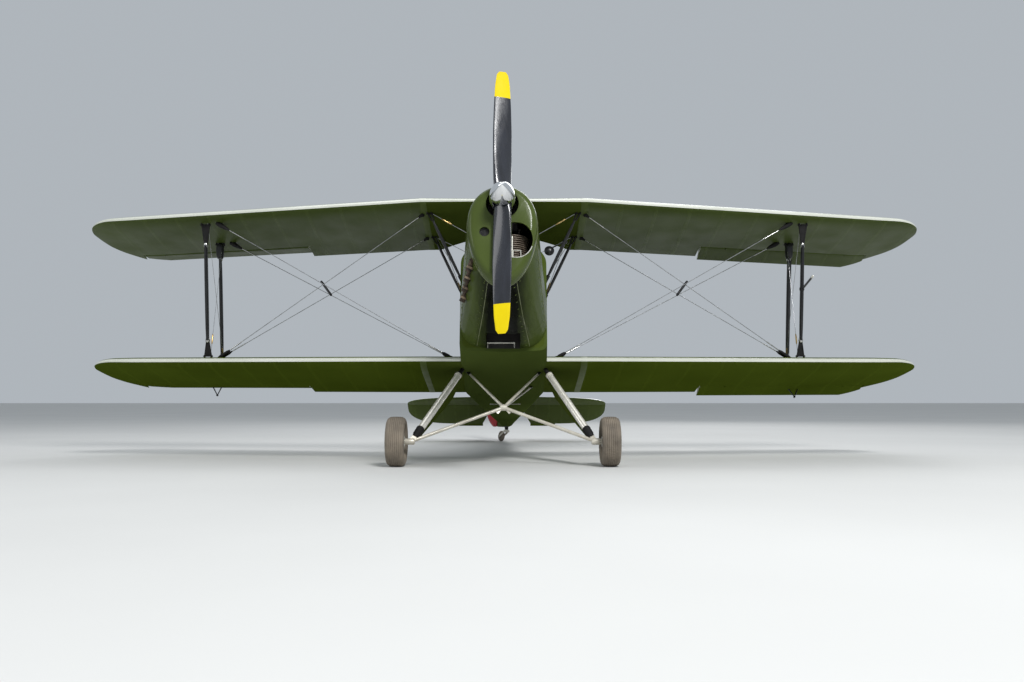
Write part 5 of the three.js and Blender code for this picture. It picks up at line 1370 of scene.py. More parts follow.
def build_gear():
    run = LEG_BOTTOM - LEG_TOP
    slim, main, collar = [tube(LEG_TOP + run * a, LEG_TOP + run * b, *rest)
                          for a, b, *rest in LEG_TUBES.values()]
    boot = turned_rows([(t * run.length, r) for t, r in LEG_BOOT], LEG_TOP, run, 28)
    lug = plate(LEG_TOP + run * 0.95, KNUCKLE, (0, 1, 0), 0.034, 0.030)
    make_pair("gear_leg_{}_tube", lug.marked(2) + main + collar + (boot + slim).marked(1),
              [LEG_METAL, BLACK_RUBBER, CREAM_TUBE], "gear_leg_{}")
    make_pair("gear_fairing_{}", leg_fairing(), SHEET_PAINT)
    arm = tube(APEX + Vector((0.024, -0.008, -0.011)), KNUCKLE, 0.0135, 0.0135, 20)
    knuckle = turned_rows([(0, 0.019), (0.010, 0.025), (0.060, 0.025), (0.075, 0.022)],
                          (0.676, 0, 0), (1, 0, 0), 24)
    axle = tube((LEG_BOTTOM.x, 0, 0), (WHEEL["x"] + 0.066, 0, 0), AXLE_RADIUS, sides=24)
    cap = turned_rows([(0.0632, 0.022), (0.066, 0.026), (0.071, 0.026), (0.074, 0.021)],
                      (WHEEL["x"], 0, 0), (1, 0, 0), 24)
    make_pair("half_axle_{}_tube", arm + knuckle + axle + cap, CREAM_TUBE, "half_axle_{}")
    apex = boss(APEX, (1, 0, 0), 0.030, 0.024, 0.018, 0.026, 28)
    lugs = [plate(APEX + Vector((s * 0.022, 0, -0.012)), APEX + Vector((s * 0.05, -0.012, -0.050)),
                  (0, 1, 0), 0.018, 0.014) for s in (-1, 1)]
    feet = [Vector(foot) for foot in PYRAMID_FEET]
    legs = [tube(APEX, foot, 0.0115, 0.0095, 18) for foot in feet]
    ends = [tube(foot.lerp(APEX, 0.11), foot.lerp(APEX, 0.02), 0.0125, sides=18).marked(1)
            for foot in feet]
    make("gear_pyramid_tubes", joined([apex, *lugs, *legs, *ends]), [CREAM_TUBE, BLACK_ENAMEL],
         replaces=["gear_pyramid"])


# Struts between the wings: shares of the chord at their feet, and lengths of their forks
STRUT = {"x": 2.560, "chord": 0.058, "width": 0.030, "end_scale": 0.80}
STRUT_ENDS = {"front": (OUTER_SPARS[0], 0.185, 0.150), "rear": (OUTER_SPARS[1], 0.140, 0.140)}
STRUT_COLLAR = (0.02, 0.012, 0.014, 0.019)
REAR_BOOT = {"from": 0.002, "to": 0.138, "chord": 0.080, "width": 0.066, "end_scale": 0.7}
CABANE = {"top_x": 0.620, "low_x": 0.352, "low_z": 1.404, "inset": 0.004, "fork": 0.075}
CABANE_FEET = {"front": (INNER_SPARS[0], 0.230), "rear": (INNER_SPARS[1], 0.700)}
ALONG_X, ALONG_Y = Vector((1, 0, 0)), Vector((0, 1, 0))


def fork(end, toward, spread, radius):
    """Two rods from a strut's end that part before they meet the wing."""
    aim = (toward - end).normalized()
    shapes = []
    for sign in (-1, 1):
        start, stop = end + ALONG_X * sign * 0.008, toward + ALONG_X * sign * spread
        shapes.append(tube(start, stop, radius, radius, 12))
        shapes.append(plate(stop - aim * 0.022, stop + aim * 0.004, ALONG_X, 0.024, 0.009))
    return joined(shapes) + cross_tube(toward - aim * 0.012, spread + 0.012, 0.005, 12)


def fork_web(end, toward):
    """The dark web that fills a fork, wider at the wing."""
    aim = (toward - end).normalized()
    through = aim.cross(ALONG_X).normalized() * 0.004
    rows = []
    for place, half in ((end, 0.008), (toward - aim * 0.012, 0.028)):
        across = ALONG_X * half
        rows.append([place + across + through, place - across + through, place - across - through,
                     place + across - through])
    return loft(rows)


def build_interplane_struts():
    for place, (share, top, bottom) in STRUT_ENDS.items():
        low = on_skin(LOWER, STRUT["x"], share, 1)
        high = on_skin(UPPER, STRUT["x"], share, -1)
        along = (high - low).normalized()
        a, b = low + along * bottom, high - along * top
        blade = faired(a, b, STRUT["chord"], STRUT["width"], end_scale=STRUT["end_scale"])
        collars = [boss(p, along, *STRUT_COLLAR) for p in (a, b)]
        forks = [fork(b, high, 0.032, 0.0075), fork(a, low, 0.030, 0.0065), fork_web(b, high),
                 fork_web(a, low)]
        shapes = blade + joined(collars).marked(1) + joined(forks).marked(2)
        if place == "rear":
            shapes = shapes + faired(high - along * REAR_BOOT["from"], high - along * REAR_BOOT["to"],
                                     REAR_BOOT["chord"], REAR_BOOT["width"],
                                     end_scale=REAR_BOOT["end_scale"])
        make_pair(f"strut_{place}_{{}}_fairing", shapes, [BLACK_ENAMEL, BRIGHT_STEEL, BLACK_RUBBER],
                  f"strut_{place}_{{}}")


def build_cabanes():
    for place, (share, low_y) in CABANE_FEET.items():
        skin = on_skin(UPPER, JOINT_X, share, -1)
        high = Vector((CABANE["top_x"] - CABANE["inset"], skin.y, skin.z - GAP))
        low = Vector((CABANE["low_x"] - CABANE["inset"], low_y, CABANE["low_z"] - 0.010))
        along = (high - low).normalized()
        head = high - along * CABANE["fork"]
        blade = faired(low + along * 0.03, head, 0.050, 0.026, end_scale=0.6)
        foot = tube(low - along * 0.02, low + along * 0.05, 0.013, 0.015, 18)
        make_pair(f"cabane_{place}_{{}}_strut", blade + (fork(head, high, 0.016, 0.0065) + foot).marked(1),
                  [BLACK_ENAMEL, BLACK_RUBBER], f"cabane_{place}_{{}}")


# Wires: where they meet the upper wing, and the lengths of the boots at the upper and the lower end
WIRE_OUT_X = {"flying": 2.460, "landing": 2.490}
WIRE_RADIUS = 0.0028
WIRE_BOOTS = {"flying": (0.13, 0.09), "landing": (0.05, 0.15)}
WIRE_BUCKLE = {"length": 0.16, "end": 0.02, "radius": 0.0046}
ROOT_MEET = Vector((0.437, 0.440, on_chord(LOWER, JOINT_X, INNER_SPARS[0]).z + 0.062))
LANDING_MEET = inside_wing(LOWER, WIRE_OUT_X["landing"], OUTER_SPARS[0]) + Vector((0, 0.040, 0.040))


def bracing_wire(a, b, boot, low_boot):
    """A thin wire with two turnbuckles, and a dark boot at each end."""
    along = (b - a).normalized()
    length, end, radius = WIRE_BUCKLE["length"], WIRE_BUCKLE["end"], WIRE_BUCKLE["radius"]
    buckle = [(0.0, 0.0032), (end, radius), (length - end, radius), (length, 0.0030)]
    low_cover = [(0.0, 0.009), (low_boot * 0.3, 0.015), (low_boot * 0.8, 0.013), (low_boot, 0.005)]
    cover = [(0.0, 0.007), (0.04, 0.016), (boot * 0.7, 0.021), (boot, 0.016)]
    return (tube(a, b, WIRE_RADIUS, WIRE_RADIUS, 10)
            + turned_rows(buckle, a + along * (low_boot - end), along, 14).marked(1)
            + turned_rows(buckle, b - along * (boot + length), along, 14).marked(1)
            + turned_rows(cover, b - along * boot, along, 18).marked(2)
            + turned_rows(low_cover, a, along, 18).marked(2))


def build_wires():
    flying = [on_skin(UPPER, WIRE_OUT_X["flying"], share, -1) for share in OUTER_SPARS]
    landing = [on_skin(UPPER, JOINT_X, share, -1) + Vector((-0.015, 0.030, 0)) for share in INNER_SPARS]
    for name, meet, ends in (("flying", ROOT_MEET, flying), ("landing", LANDING_MEET, landing)):
        wires = [bracing_wire(meet + ALONG_Y * (i - 0.5) * 0.016, end, *WIRE_BOOTS[name])
                 for i, end in enumerate(ends)]
        lug = boss(meet, ALONG_Y, 0.016, 0.012, 0.010, 0.015)
        foot = plate(meet + Vector((0, 0, -0.045)), meet, ALONG_Y, 0.026, 0.008)
        make_pair(name + "_wires_{}_lines", joined(wires) + (lug + foot).marked(2),
                  [WIRE_STEEL, BRIGHT_STEEL, BLACK_RUBBER], name + "_wires_{}")


# Where the wires cross, joined by a streamlined bar
SPREADER = Vector((1.474, 0.470, 1.360)), Vector((1.562, 0.500, 1.482))
INCIDENCE_WIRE = {"inward": 0.020, "radius": 0.0020, "buckle": 0.12}
CABANE_WIRE = {"inner": 0.352, "outer": 0.600, "radius": 0.0024, "deck_y": 0.160}
# Place along a turnbuckle and radius of it, between the wire's own at both ends
TURNBUCKLE = [(0.012, 0.0055), (0.030, 0.0065), (0.070, 0.0065), (0.088, 0.0055)]
TURNBUCKLE_LENGTH = 0.100


def build_spreaders():
    low, high = SPREADER
    bar = faired(low, high, 0.034, 0.021, sides=20, end_scale=0.9)
    clamps = [boss(p, high - low, 0.012, 0.006, 0.008, 0.0105, 16) for p in (low, high)]
    make_pair("spreader_{}", bar + joined(clamps).marked(1), [BLACK_ENAMEL, BLACK_RUBBER])


def turnbuckle_wire(a, b, radius, buckle_from):
    """A plain wire with one turnbuckle on it."""
    along = (b - a).normalized()
    rows = [(0, radius), *TURNBUCKLE, (TURNBUCKLE_LENGTH, radius)]
    return tube(a, b, radius, sides=10) + turned_rows(rows, a + along * buckle_from, along, 14).marked(1)


def build_incidence_wires():
    """The thin wires that cross between each pair of interplane struts."""
    inward = Vector((-INCIDENCE_WIRE["inward"], 0, 0))
    low = [on_skin(LOWER, STRUT["x"], share, 1) + inward for share in OUTER_SPARS]
    high = [on_skin(UPPER, STRUT["x"], share, -1) + inward for share in OUTER_SPARS]
    wires = [turnbuckle_wire(low[i], high[1 - i], INCIDENCE_WIRE["radius"], INCIDENCE_WIRE["buckle"])
             for i in (0, 1)]
    make_pair("incidence_wires_{}", joined(wires), [WIRE_STEEL, BRASS])


def build_cabane_wires():
    """The wires that cross between the cabane struts, in front, behind and at the sides."""
    radius = CABANE_WIRE["radius"]
    feet, heads = [], []
    for share, low_y in CABANE_FEET.values():
        skin = on_skin(UPPER, JOINT_X, share, -1)
        heads.append(Vector((CABANE_WIRE["outer"], skin.y, skin.z - 0.004)))
        feet.append(Vector((CABANE_WIRE["inner"], low_y, CABANE["low_z"] + 0.012)))
    bay = [turnbuckle_wire(feet[i], heads[1 - i], radius, 0.06) for i in (0, 1)]
    make_pair("cabane_wires_{}", joined(bay), [WIRE_STEEL, BRASS])
    foot = Vector((0, CABANE_WIRE["deck_y"], deck_height(0, CABANE_WIRE["deck_y"]) + 0.006))
    runs = [(feet[1] + Vector((0, 0.006, 0.06)), Vector((-heads[1].x, heads[1].y + 0.012, heads[1].z))),
            (Vector((-feet[1].x, feet[1].y + 0.018, feet[1].z + 0.06)), heads[1]),
            (Vector((-heads[0].x, heads[0].y, heads[0].z)), foot), (heads[0], foot)]
    fitting = turned_rows([(-0.006, 0.020), (0.004, 0.018), (0.010, 0.008)], foot, (0, 0, 1), 20)
    crossing = [turnbuckle_wire(a, b, radius, 0.10) for a, b in runs]
    make("cabane_cross_wires", joined(crossing) + fitting, [WIRE_STEEL, BRASS])


PITOT = {"share": 0.53, "reach": 0.330, "radius": 0.0095, "drop": 0.020}
PITOT_HEAD = [(0, 0.0095), (0.004, 0.0105), (0.030, 0.0105), (0.044, 0.004)]
MIRROR = {"x": 0.379, "y": 0.245, "z": 1.669, "radius": 0.042}


def build_pitot():
    low = on_skin(LOWER, STRUT["x"], OUTER_SPARS[0], 1)
    high = on_skin(UPPER, STRUT["x"], OUTER_SPARS[0], -1)
    root = low.lerp(high, PITOT["share"]) - Vector((0, 0, PITOT["drop"]))
    path = [root + Vector((0.004, -PITOT["reach"] * share, 0)) for share in (0.0, 0.3, 0.6, 0.86)]
    tip = turned_rows(PITOT_HEAD, path[-1], (0, -1, 0), 18)
    clamp = boss(root, high - low, 0.014, 0.010, 0.018, 0.021)
    make("pitot_tube", rod(path, PITOT["radius"], 12) + tip.marked(1) + clamp,
         [BLACK_ENAMEL, DIAL_WHITE])


def build_mirror():
    """A round mirror that faces aft, on a clamp at the front left cabane strut."""
    centre, r = Vector((MIRROR["x"], MIRROR["y"], MIRROR["z"])), MIRROR["radius"]
    shell = turned_rows([(-0.022, 0.010), (-0.018, r * 0.55), (-0.008, r * 0.92), (0, r), (0.006, r),
                         (0.006, r - 0.003)], centre, ALONG_Y, 36)
    glass = turned_rows([(0.0062, r - 0.003), (0.0075, r - 0.004)], centre, ALONG_Y, 36)
    share, low_y = CABANE_FEET["front"]
    skin = on_skin(UPPER, JOINT_X, share, -1)
    high = Vector((CABANE["top_x"], skin.y, skin.z))
    low = Vector((CABANE["low_x"], low_y, CABANE["low_z"]))
    grip = low.lerp(high, (MIRROR["z"] + 0.030 - low.z) / (high.z - low.z))
    arm = rod([centre + Vector((0, -0.016, 0)), centre + Vector((0.030, -0.020, 0.020)), grip], 0.0045, 10)
    clamp = boss(grip, high - low, 0.012, 0.008, 0.017, 0.021)
    make("mirror", shell + glass.marked(1) + arm + clamp, [BLACK_ENAMEL, POLISHED])


# Tail
TAIL = {"z": 1.345, "hinge_y": 4.450, "half": 0.023, "sag": 0.0012, "rib_pitch": 0.165,
        "rib_offset": 0.19}
ELEVATOR = {"nose": 0.019, "gap": 0.009, "inner": 0.190, "outer": 1.2185, "torque": 0.015,
            "torque_half": 0.240, "cut_y": 4.510, "cut_slope": 3.245}
ELEVATOR_DOWN = math.radians(23)
STABILISER_POINTS = 40
ELEVATOR_BRACKETS = (-0.900, -0.330, 0.330, 0.900)
TRIM_TAB = {"inner": 0.300, "outer": 0.610, "y": 4.858, "depth": 0.115, "thickness": 0.0035,
            "knuckles": (0.330, 0.450, 0.570)}
# x, leading edge, trailing edge
TAIL_STATIONS = [(0.0, 4.070, 4.870), (0.508, 4.090, 4.870), (0.864, 4.140, 4.860), (1.068, 4.210, 4.805),
                 (1.170, 4.300, 4.720), (1.210, 4.380, 4.640), (1.220, 4.440, 4.580)]
# Share of the chord, and share of the half thickness
TAIL_SHAPE = [(0, 0), (0.015, 0.32), (0.06, 0.6), (0.12, 0.80), (0.2, 0.95), (0.32, 1.0), (0.45, 1.0),
              (0.6, 0.84), (0.75, 0.6), (0.88, 0.34), (1, 0.08)]


def tail_slice(x):
    """Leading edge, trailing edge and half thickness of the tailplane at x."""
    front, rear = station_at(rounded_rows(TAIL_STATIONS), abs(x))
    sag = TAIL["sag"] * rib_sag(x, TAIL["rib_pitch"], TAIL["rib_offset"])
    return front, rear, TAIL["half"] * min(1, (rear - front) / 0.5) - sag


def tail_surface(x, start, end, points):
    """Places along Y from start to end and the half thickness at each."""
    front, rear, half = tail_slice(x)
    ys = np.linspace(start, end, points)
    heights = np.interp((ys - front) / (rear - front), *zip(*TAIL_SHAPE)) * half
    return list(zip(ys, heights))


def stabiliser_ring(x, rear_limit):
    front, rear, _ = tail_slice(x)
    run = tail_surface(x, front, min(rear, rear_limit), STABILISER_POINTS // 2)
    top = [(x, y, TAIL["z"] + h) for y, h in run]
    return top + [(x, y, TAIL["z"] - h - 1e-5) for y, h in reversed(run)]


def elevator_ring(x):
    """A half-round nose on the hinge line, and the fabric drawn back to the trailing edge."""
    _, rear, half = tail_slice(x)
    rear = min(rear, ELEVATOR["cut_y"] + (x - ELEVATOR["inner"]) * ELEVATOR["cut_slope"])
    nose = min(ELEVATOR["nose"], half)
    ring = [(x, TAIL["hinge_y"] + nose * math.cos(a), TAIL["z"] + nose * math.sin(a))
            for a in np.linspace(math.pi / 2, 1.5 * math.pi, 13)]
    run = tail_surface(x, TAIL["hinge_y"] + 0.004, rear, 12)
    ring += [(x, y, TAIL["z"] - h) for y, h in run]
    return ring + [(x, y, TAIL["z"] + h) for y, h in reversed(run)]


def tail_stations(start, end):
    outer = [x for x in rounded_rows(TAIL_STATIONS)[:, 0] if 0.9 < x < end]
    return [*np.linspace(start, 0.9, 26), *outer, end]


def trim_tab():
    y, z = TRIM_TAB["y"], TAIL["z"]
    tab = plate((TRIM_TAB["inner"], y, z), (TRIM_TAB["outer"], y, z), (0, 0, 1), TRIM_TAB["depth"],
                TRIM_TAB["thickness"])
    knuckles = [cross_tube((x, y + 0.010, z + 0.002), 0.012, 0.0045, 12) for x in TRIM_TAB["knuckles"]]
    return tab + joined(knuckles).marked(1)


def build_tail():
    reach = ELEVATOR["nose"] + ELEVATOR["gap"]
    xs = tail_stations(0.0, 1.212)
    whole = [-x for x in reversed(xs[1:])] + xs
    stabiliser = loft([stabiliser_ring(x, TAIL["hinge_y"] - reach) for x in whole])
    # The two faces just over the leading edge at each station take the painted highlight.
    for i in range(len(whole) - 1):
        for j in range(2):
            stabiliser.marks[i * STABILISER_POINTS + j] = 1
    make("stabiliser_skin", stabiliser, [TAIL_FABRIC, EDGE_HIGHLIGHT],
         replaces=["stabiliser"])
    hinge = Matrix.Translation((0, TAIL["hinge_y"], TAIL["z"]))
    brackets = hinge_brackets(ELEVATOR_BRACKETS, reach + HINGE["sink"], TAIL_HINGE).turned(hinge)
    make("stabiliser_hinges", brackets, BLACK_ENAMEL)
    turn = hinge @ Matrix.Rotation(-ELEVATOR_DOWN, 4, "X") @ hinge.inverted()
    flap = loft([elevator_ring(x) for x in tail_stations(ELEVATOR["inner"], ELEVATOR["outer"])])
    slots = [s.turned(turn @ hinge) for s in hinge_slots(ELEVATOR_BRACKETS[2:], TAIL_HINGE)]
    for side, sign in SIDES:
        half = make(f"elevator_{side}_skin", flap.turned(turn).on_side(sign), TAIL_FABRIC, "elevator",
                    ["elevator"] if side == "left" else ())
        carve(half, *[s.on_side(sign) for s in slots])
        make(f"trim_tab_{side}", trim_tab().turned(turn).on_side(sign), [SHEET_PAINT, BLACK_ENAMEL],
             "elevator")
    torque = cross_tube((0, TAIL["hinge_y"], TAIL["z"]), ELEVATOR["torque_half"], ELEVATOR["torque"], 24)
    make("elevator_torque_tube", torque, BLACK_ENAMEL, "elevator")


# Fin and rudder
RUDDER = {"hinge_y": 4.560, "low": 1.078, "high": 2.030, "half": 0.017, "nose": 0.020, "rear": 0.006}
RUDDER_REST = math.radians(30)
RUDDER_BRACKETS = (-1.100, -1.470, -1.880)
FIN_FRONT_Y, FIN_NOTCH_Y, FIN_POST_Y, FIN_TOP, FIN_HALF = 3.960, 4.420, 4.505, 1.930, 0.020
FIN_BASE = TAIL["z"] + TAIL["half"] + GAP
FIN_POST_LOW = TAIL["z"] + 0.065
RED_FROM = 4.790


def arc(cy, cz, ry, rz, start, end, steps):
    return [(cy + ry * math.cos(math.radians(a)), cz + rz * math.sin(math.radians(a)))
            for a in np.linspace(start, end, steps)]


RUDDER_OUTLINE = [(RUDDER["hinge_y"], RUDDER["low"]), *arc(4.700, 1.560, 0.420, 0.470, -62, 80, 40),
                  (RUDDER["hinge_y"], RUDDER["high"])]


def side_plate(outline, half, edge=0.006):
    """A plate in the side view with its rim rounded off."""
    points = np.array(outline, float)
    middle = points.mean(0)
    rings = []
    for x, inset in ((-half, edge), (-half * 0.72, edge * 0.3), (-half * 0.3, 0.0), (half * 0.3, 0.0),
                     (half * 0.72, edge * 0.3), (half, edge)):
        away = points - middle
        size = np.linalg.norm(away, axis=1, keepdims=True)
        shrunk = middle + away * (1 - inset / size)
        rings.append([(x, y, z) for y, z in shrunk])
    return loft(rings)


def rudder_ring(z, start, end):
    """A slice of the rudder: a half-round nose where it starts at the hinge, thin at the rear."""
    hinge_y, widest = RUDDER["hinge_y"], max(y for y, _ in RUDDER_OUTLINE)
    ys = np.linspace(start, end, 12)
    halves = np.interp(ys, [hinge_y, hinge_y + 0.05, widest],
                       [RUDDER["nose"], RUDDER["half"], RUDDER["rear"]])
    halves = halves * np.clip((end - ys + 0.008) / 0.05, 0.15, 1)
    left = [(-h, y, z) for y, h in zip(ys, halves)]
    right = [(h, y, z) for y, h in zip(ys, halves)]
    if start > hinge_y:
        return left + right[::-1]
    nose = [(halves[0] * math.cos(a), hinge_y - halves[0] * math.sin(a), z)
            for a in np.linspace(0, math.pi, 13)[1:-1]]
    return left + right[::-1] + nose


def rudder_rear(z):
    """Where the rudder ends at a height."""
    ys, zs = np.array(RUDDER_OUTLINE).T
    return float(np.interp(z, zs, ys))


def build_fin_and_rudder():
    outline = [(FIN_FRONT_Y, FIN_BASE), (FIN_NOTCH_Y, FIN_BASE), (FIN_NOTCH_Y, FIN_POST_LOW),
               (FIN_POST_Y, FIN_POST_LOW), (FIN_POST_Y, FIN_TOP)]
    outline += arc(4.480, 1.700, 0.330, 0.232, 95, 150, 16)
    make("fin_skin", side_plate(outline, FIN_HALF), RUDDER_FABRIC, replaces=["fin"])
    shift = Matrix.Translation((0, RUDDER["hinge_y"], 0))
    hinge = shift @ Matrix(((0, 0, 1, 0), (0, 1, 0, 0), (-1, 0, 0, 0), (0, 0, 0, 1)))
    reach = RUDDER["hinge_y"] - FIN_POST_Y + HINGE["sink"]
    make("fin_hinges", hinge_brackets(RUDDER_BRACKETS[1:], reach, TAIL_HINGE).turned(hinge), BLACK_ENAMEL)
    turn = shift @ Matrix.Rotation(RUDDER_REST, 4, "Z") @ shift.inverted()
    zs = [*np.linspace(1.0785, 1.145, 7), *np.linspace(1.16, 2.00, 40), *np.linspace(2.004, 2.0295, 12)]
    front = loft([rudder_ring(z, RUDDER["hinge_y"], min(rudder_rear(z), RED_FROM)) for z in zs])
    blade = make("rudder_skin", front.turned(turn), RUDDER_FABRIC, "rudder", ["rudder"])
    carve(blade, *[s.turned(turn @ hinge) for s in hinge_slots(RUDDER_BRACKETS, TAIL_HINGE)])
    red = [z for z in zs if rudder_rear(z) > RED_FROM + 0.003]
    rear = loft([rudder_ring(z, RED_FROM, rudder_rear(z)) for z in red])
    make("rudder_rear_skin", rear.turned(turn), RED_PAINT, "rudder")


# Cockpits: name, rear of the seat, aft face of the panel, stick, and pedals ahead of it
COCKPITS = (("front", 1.080, 0.466, 0.610, 0.080), ("rear", 1.960, 1.396, 1.490, 0.050))
SEAT = {"half": 0.200, "depth": 0.380, "pan": 0.960, "drop": 0.030, "side": 0.060, "back": 0.420,
        "rake": 0.060, "sheet": 0.010, "leg_out": 0.060, "leg_in": 0.070}
CUSHION = {"cap": 0.012, "voxel": 0.006, "pressure": 4.0, "frames": 20, "fill": 0.7, "power": 2 / 0.42}
# x, z and radius of each dial about the middle of the panel, and the drop of the rear ones
DIALS = ((0.0, 1.500, 0.040), (-0.095, 1.478, 0.036), (0.095, 1.478, 0.036), (-0.062, 1.402, 0.028),
         (0.062, 1.402, 0.028), (0.150, 1.400, 0.022), (-0.150, 1.400, 0.022))
DIAL_DROP = {"front": 0.0, "rear": 0.010}

def cushion_block(width, length, height, steps=9):
    """A slab with well rounded edges, its corners drawn in, centred on the origin."""
    rings = []
    for t in np.linspace(-1, 1, steps):
        squeeze = (1 - abs(t) ** 4) ** 0.25 if abs(t) < 1 else 0.55
        scale = 0.93 + 0.07 * max(0.0, squeeze)
        ring = []
        for angle in np.linspace(0, 2 * math.pi, 48, endpoint=False):
            x, y = superellipse(angle, CUSHION["power"])
            ring.append((x * width / 2 * scale, y * length / 2 * scale, t * height / 2))
        rings.append(ring)
    return loft(rings)


def inflated(piece):
    """Swells a cushion with cloth under pressure, no point by more than the cap, and applies it."""
    remesh = piece.modifiers.new("remesh", "REMESH")
    remesh.mode = "VOXEL"
    remesh.voxel_size = CUSHION["voxel"]
    even = evaluated_mesh(piece)
    piece.modifiers.clear()
    piece.data = even
    before = np.array([v.co[:] for v in even.vertices])
    cloth = piece.modifiers.new("cloth", "CLOTH")
    cloth.settings.use_pressure = True
    cloth.settings.uniform_pressure_force = CUSHION["pressure"]
    cloth.settings.effector_weights.gravity = 0
    scene = bpy.context.scene
    for step in range(1, CUSHION["frames"] + 1):
        scene.frame_set(step)
    view = piece.evaluated_get(bpy.context.evaluated_depsgraph_get())
    move = np.array([v.co[:] for v in view.data.vertices]) - before
    piece.modifiers.clear()
    scene.frame_set(1)
    far = np.maximum(np.linalg.norm(move, axis=1, keepdims=True), 1e-9)
    placed = before + move * np.minimum(1, CUSHION["cap"] / far)
    piece.data.vertices.foreach_set("co", placed.ravel())
    piece.data.update()
    finer = piece.modifiers.new("finer", "SUBSURF")
    finer.levels = finer.render_levels = 1
    piece.data = evaluated_mesh(piece)
    piece.modifiers.clear()
    piece.data.shade_smooth()
    return piece


def seat_shell(front, rear, floor):
    """A sheet metal bucket on four legs with two rows of cross bars."""
    half, pan, sheet, lean = SEAT["half"], SEAT["pan"], SEAT["sheet"], SEAT["rake"] / SEAT["back"]
    low = pan - SEAT["drop"]
    shapes = [box_shape(-half, half, front, rear, low, low + sheet)]
    for x in (-half, half - sheet):
        shapes.append(box_shape(x, x + sheet, front, rear, low, pan + SEAT["side"]))
    rows = []
    for t in np.linspace(0, 1, 9):
        z, wide = low + (SEAT["back"] + SEAT["drop"]) * t, half - 0.030 * t - 0.040 * t**4
        y = rear - 0.014 + (z - pan) * lean
        path = [(-wide, y - 0.030), (-wide * 0.8, y), (wide * 0.8, y), (wide, y - 0.030),
                (wide, y - 0.026), (wide * 0.8, y + 0.008), (-wide * 0.8, y + 0.008), (-wide, y - 0.026)]
        rows.append([(px, py, z) for px, py in path])
    shapes.append(loft(rows))
    out, ys = half - SEAT["leg_out"], (front + SEAT["leg_in"], rear - SEAT["leg_in"])
    for x in (-out, out):
        for y in ys:
            shapes.append(tube((x, y, floor + 0.004), (x, y, low), 0.010, sides=16))
            shapes.append(hexagon_bolt((x, y, pan - 0.020), (0, 0, 1)))
    for z in (floor + 0.010, pan - 0.080):
        shapes += [cross_tube((0, y, z), out, 0.008) for y in ys]
    return joined(shapes)


def build_seats():
    half, depth, pan = SEAT["half"], SEAT["depth"], SEAT["pan"]
    for name, rear, *_ in COCKPITS:
        front = rear - depth
        floor = station_at(BODY_STATIONS, front)[1] + WALL
        make(f"seat_{name}_shell", seat_shell(front, rear, floor), RIM_PAINT,
             replaces=[f"seat_{name}"])
        base = cushion_block(2 * half - 0.050, depth - 0.060, 0.040)
        base = base.moved(0, front + depth / 2 - 0.012, pan + 0.014)
        back = cushion_block(2 * half - 0.090, SEAT["back"] - 0.110, 0.032)
        tilt = Matrix.Rotation(math.pi / 2 - math.atan(SEAT["rake"] / SEAT["back"]), 4, "X")
        back = back.turned(Matrix.Translation((0, rear - 0.034, pan + 0.245)) @ tilt)
        for part, shape in (("base", base), ("back", back)):
            piece = inflated(make(f"cushion_{name}_{part}", shape, LEATHER))


def dial(x, y, z, radius):
    """A round instrument seen from the seat: bezel, black face, white marks and a needle."""
    bezel = turned_rows([(0, radius - 0.004), (0, radius + 0.004), (0.008, radius + 0.002),
                         (0.008, radius - 0.004)], (x, y, z), ALONG_Y, 36, closed=True)
    face = tube((x, y, z), (x, y + 0.003, z), radius - 0.003, sides=36).marked(1)
    centre, pivot = Vector((x, y + 0.0034, z)), Vector((x, y + 0.0042, z))
    marks = []
    for k in range(12):
        angle = 2 * math.pi * k / 12
        out = Vector((math.sin(angle), 0, math.cos(angle))) * radius
        marks.append(plate(centre + out * 0.66, centre + out * 0.84, ALONG_Y, 0.0022, 0.0008))
    needle = Vector((0.40, 0, 0.42)) * radius
    marks.append(plate(pivot, pivot + needle, ALONG_Y, 0.0026, 0.0008))
    return bezel + face + joined(marks).marked(2)


# Height up the stick's grip and gaiter, and radius
GRIP_ROWS = [(0, 0.011), (0.008, 0.016), (0.030, 0.0145), (0.060, 0.0165), (0.092, 0.015), (0.104, 0.009)]
GAITER_ROWS = [(0, 0.046), (0.006, 0.044), (0.016, 0.030), (0.024, 0.032), (0.036, 0.020), (0.050, 0.012)]
# Place aft of the stick's foot and height above the floor
STICK_PATH = [(0, 0.002), (0.004, 0.22), (0.030, 0.40), (0.036, 0.50)]
BOARDS = {"pitch": 0.058, "half": 0.027, "lift": 0.0006, "thickness": 0.006, "front": 0.430, "rear": 2.020}
LONGERONS = {"heights": (0.180, 0.480, 0.690), "front": 0.0, "rear": 2.0, "inset": 0.012, "radius": 0.0095}


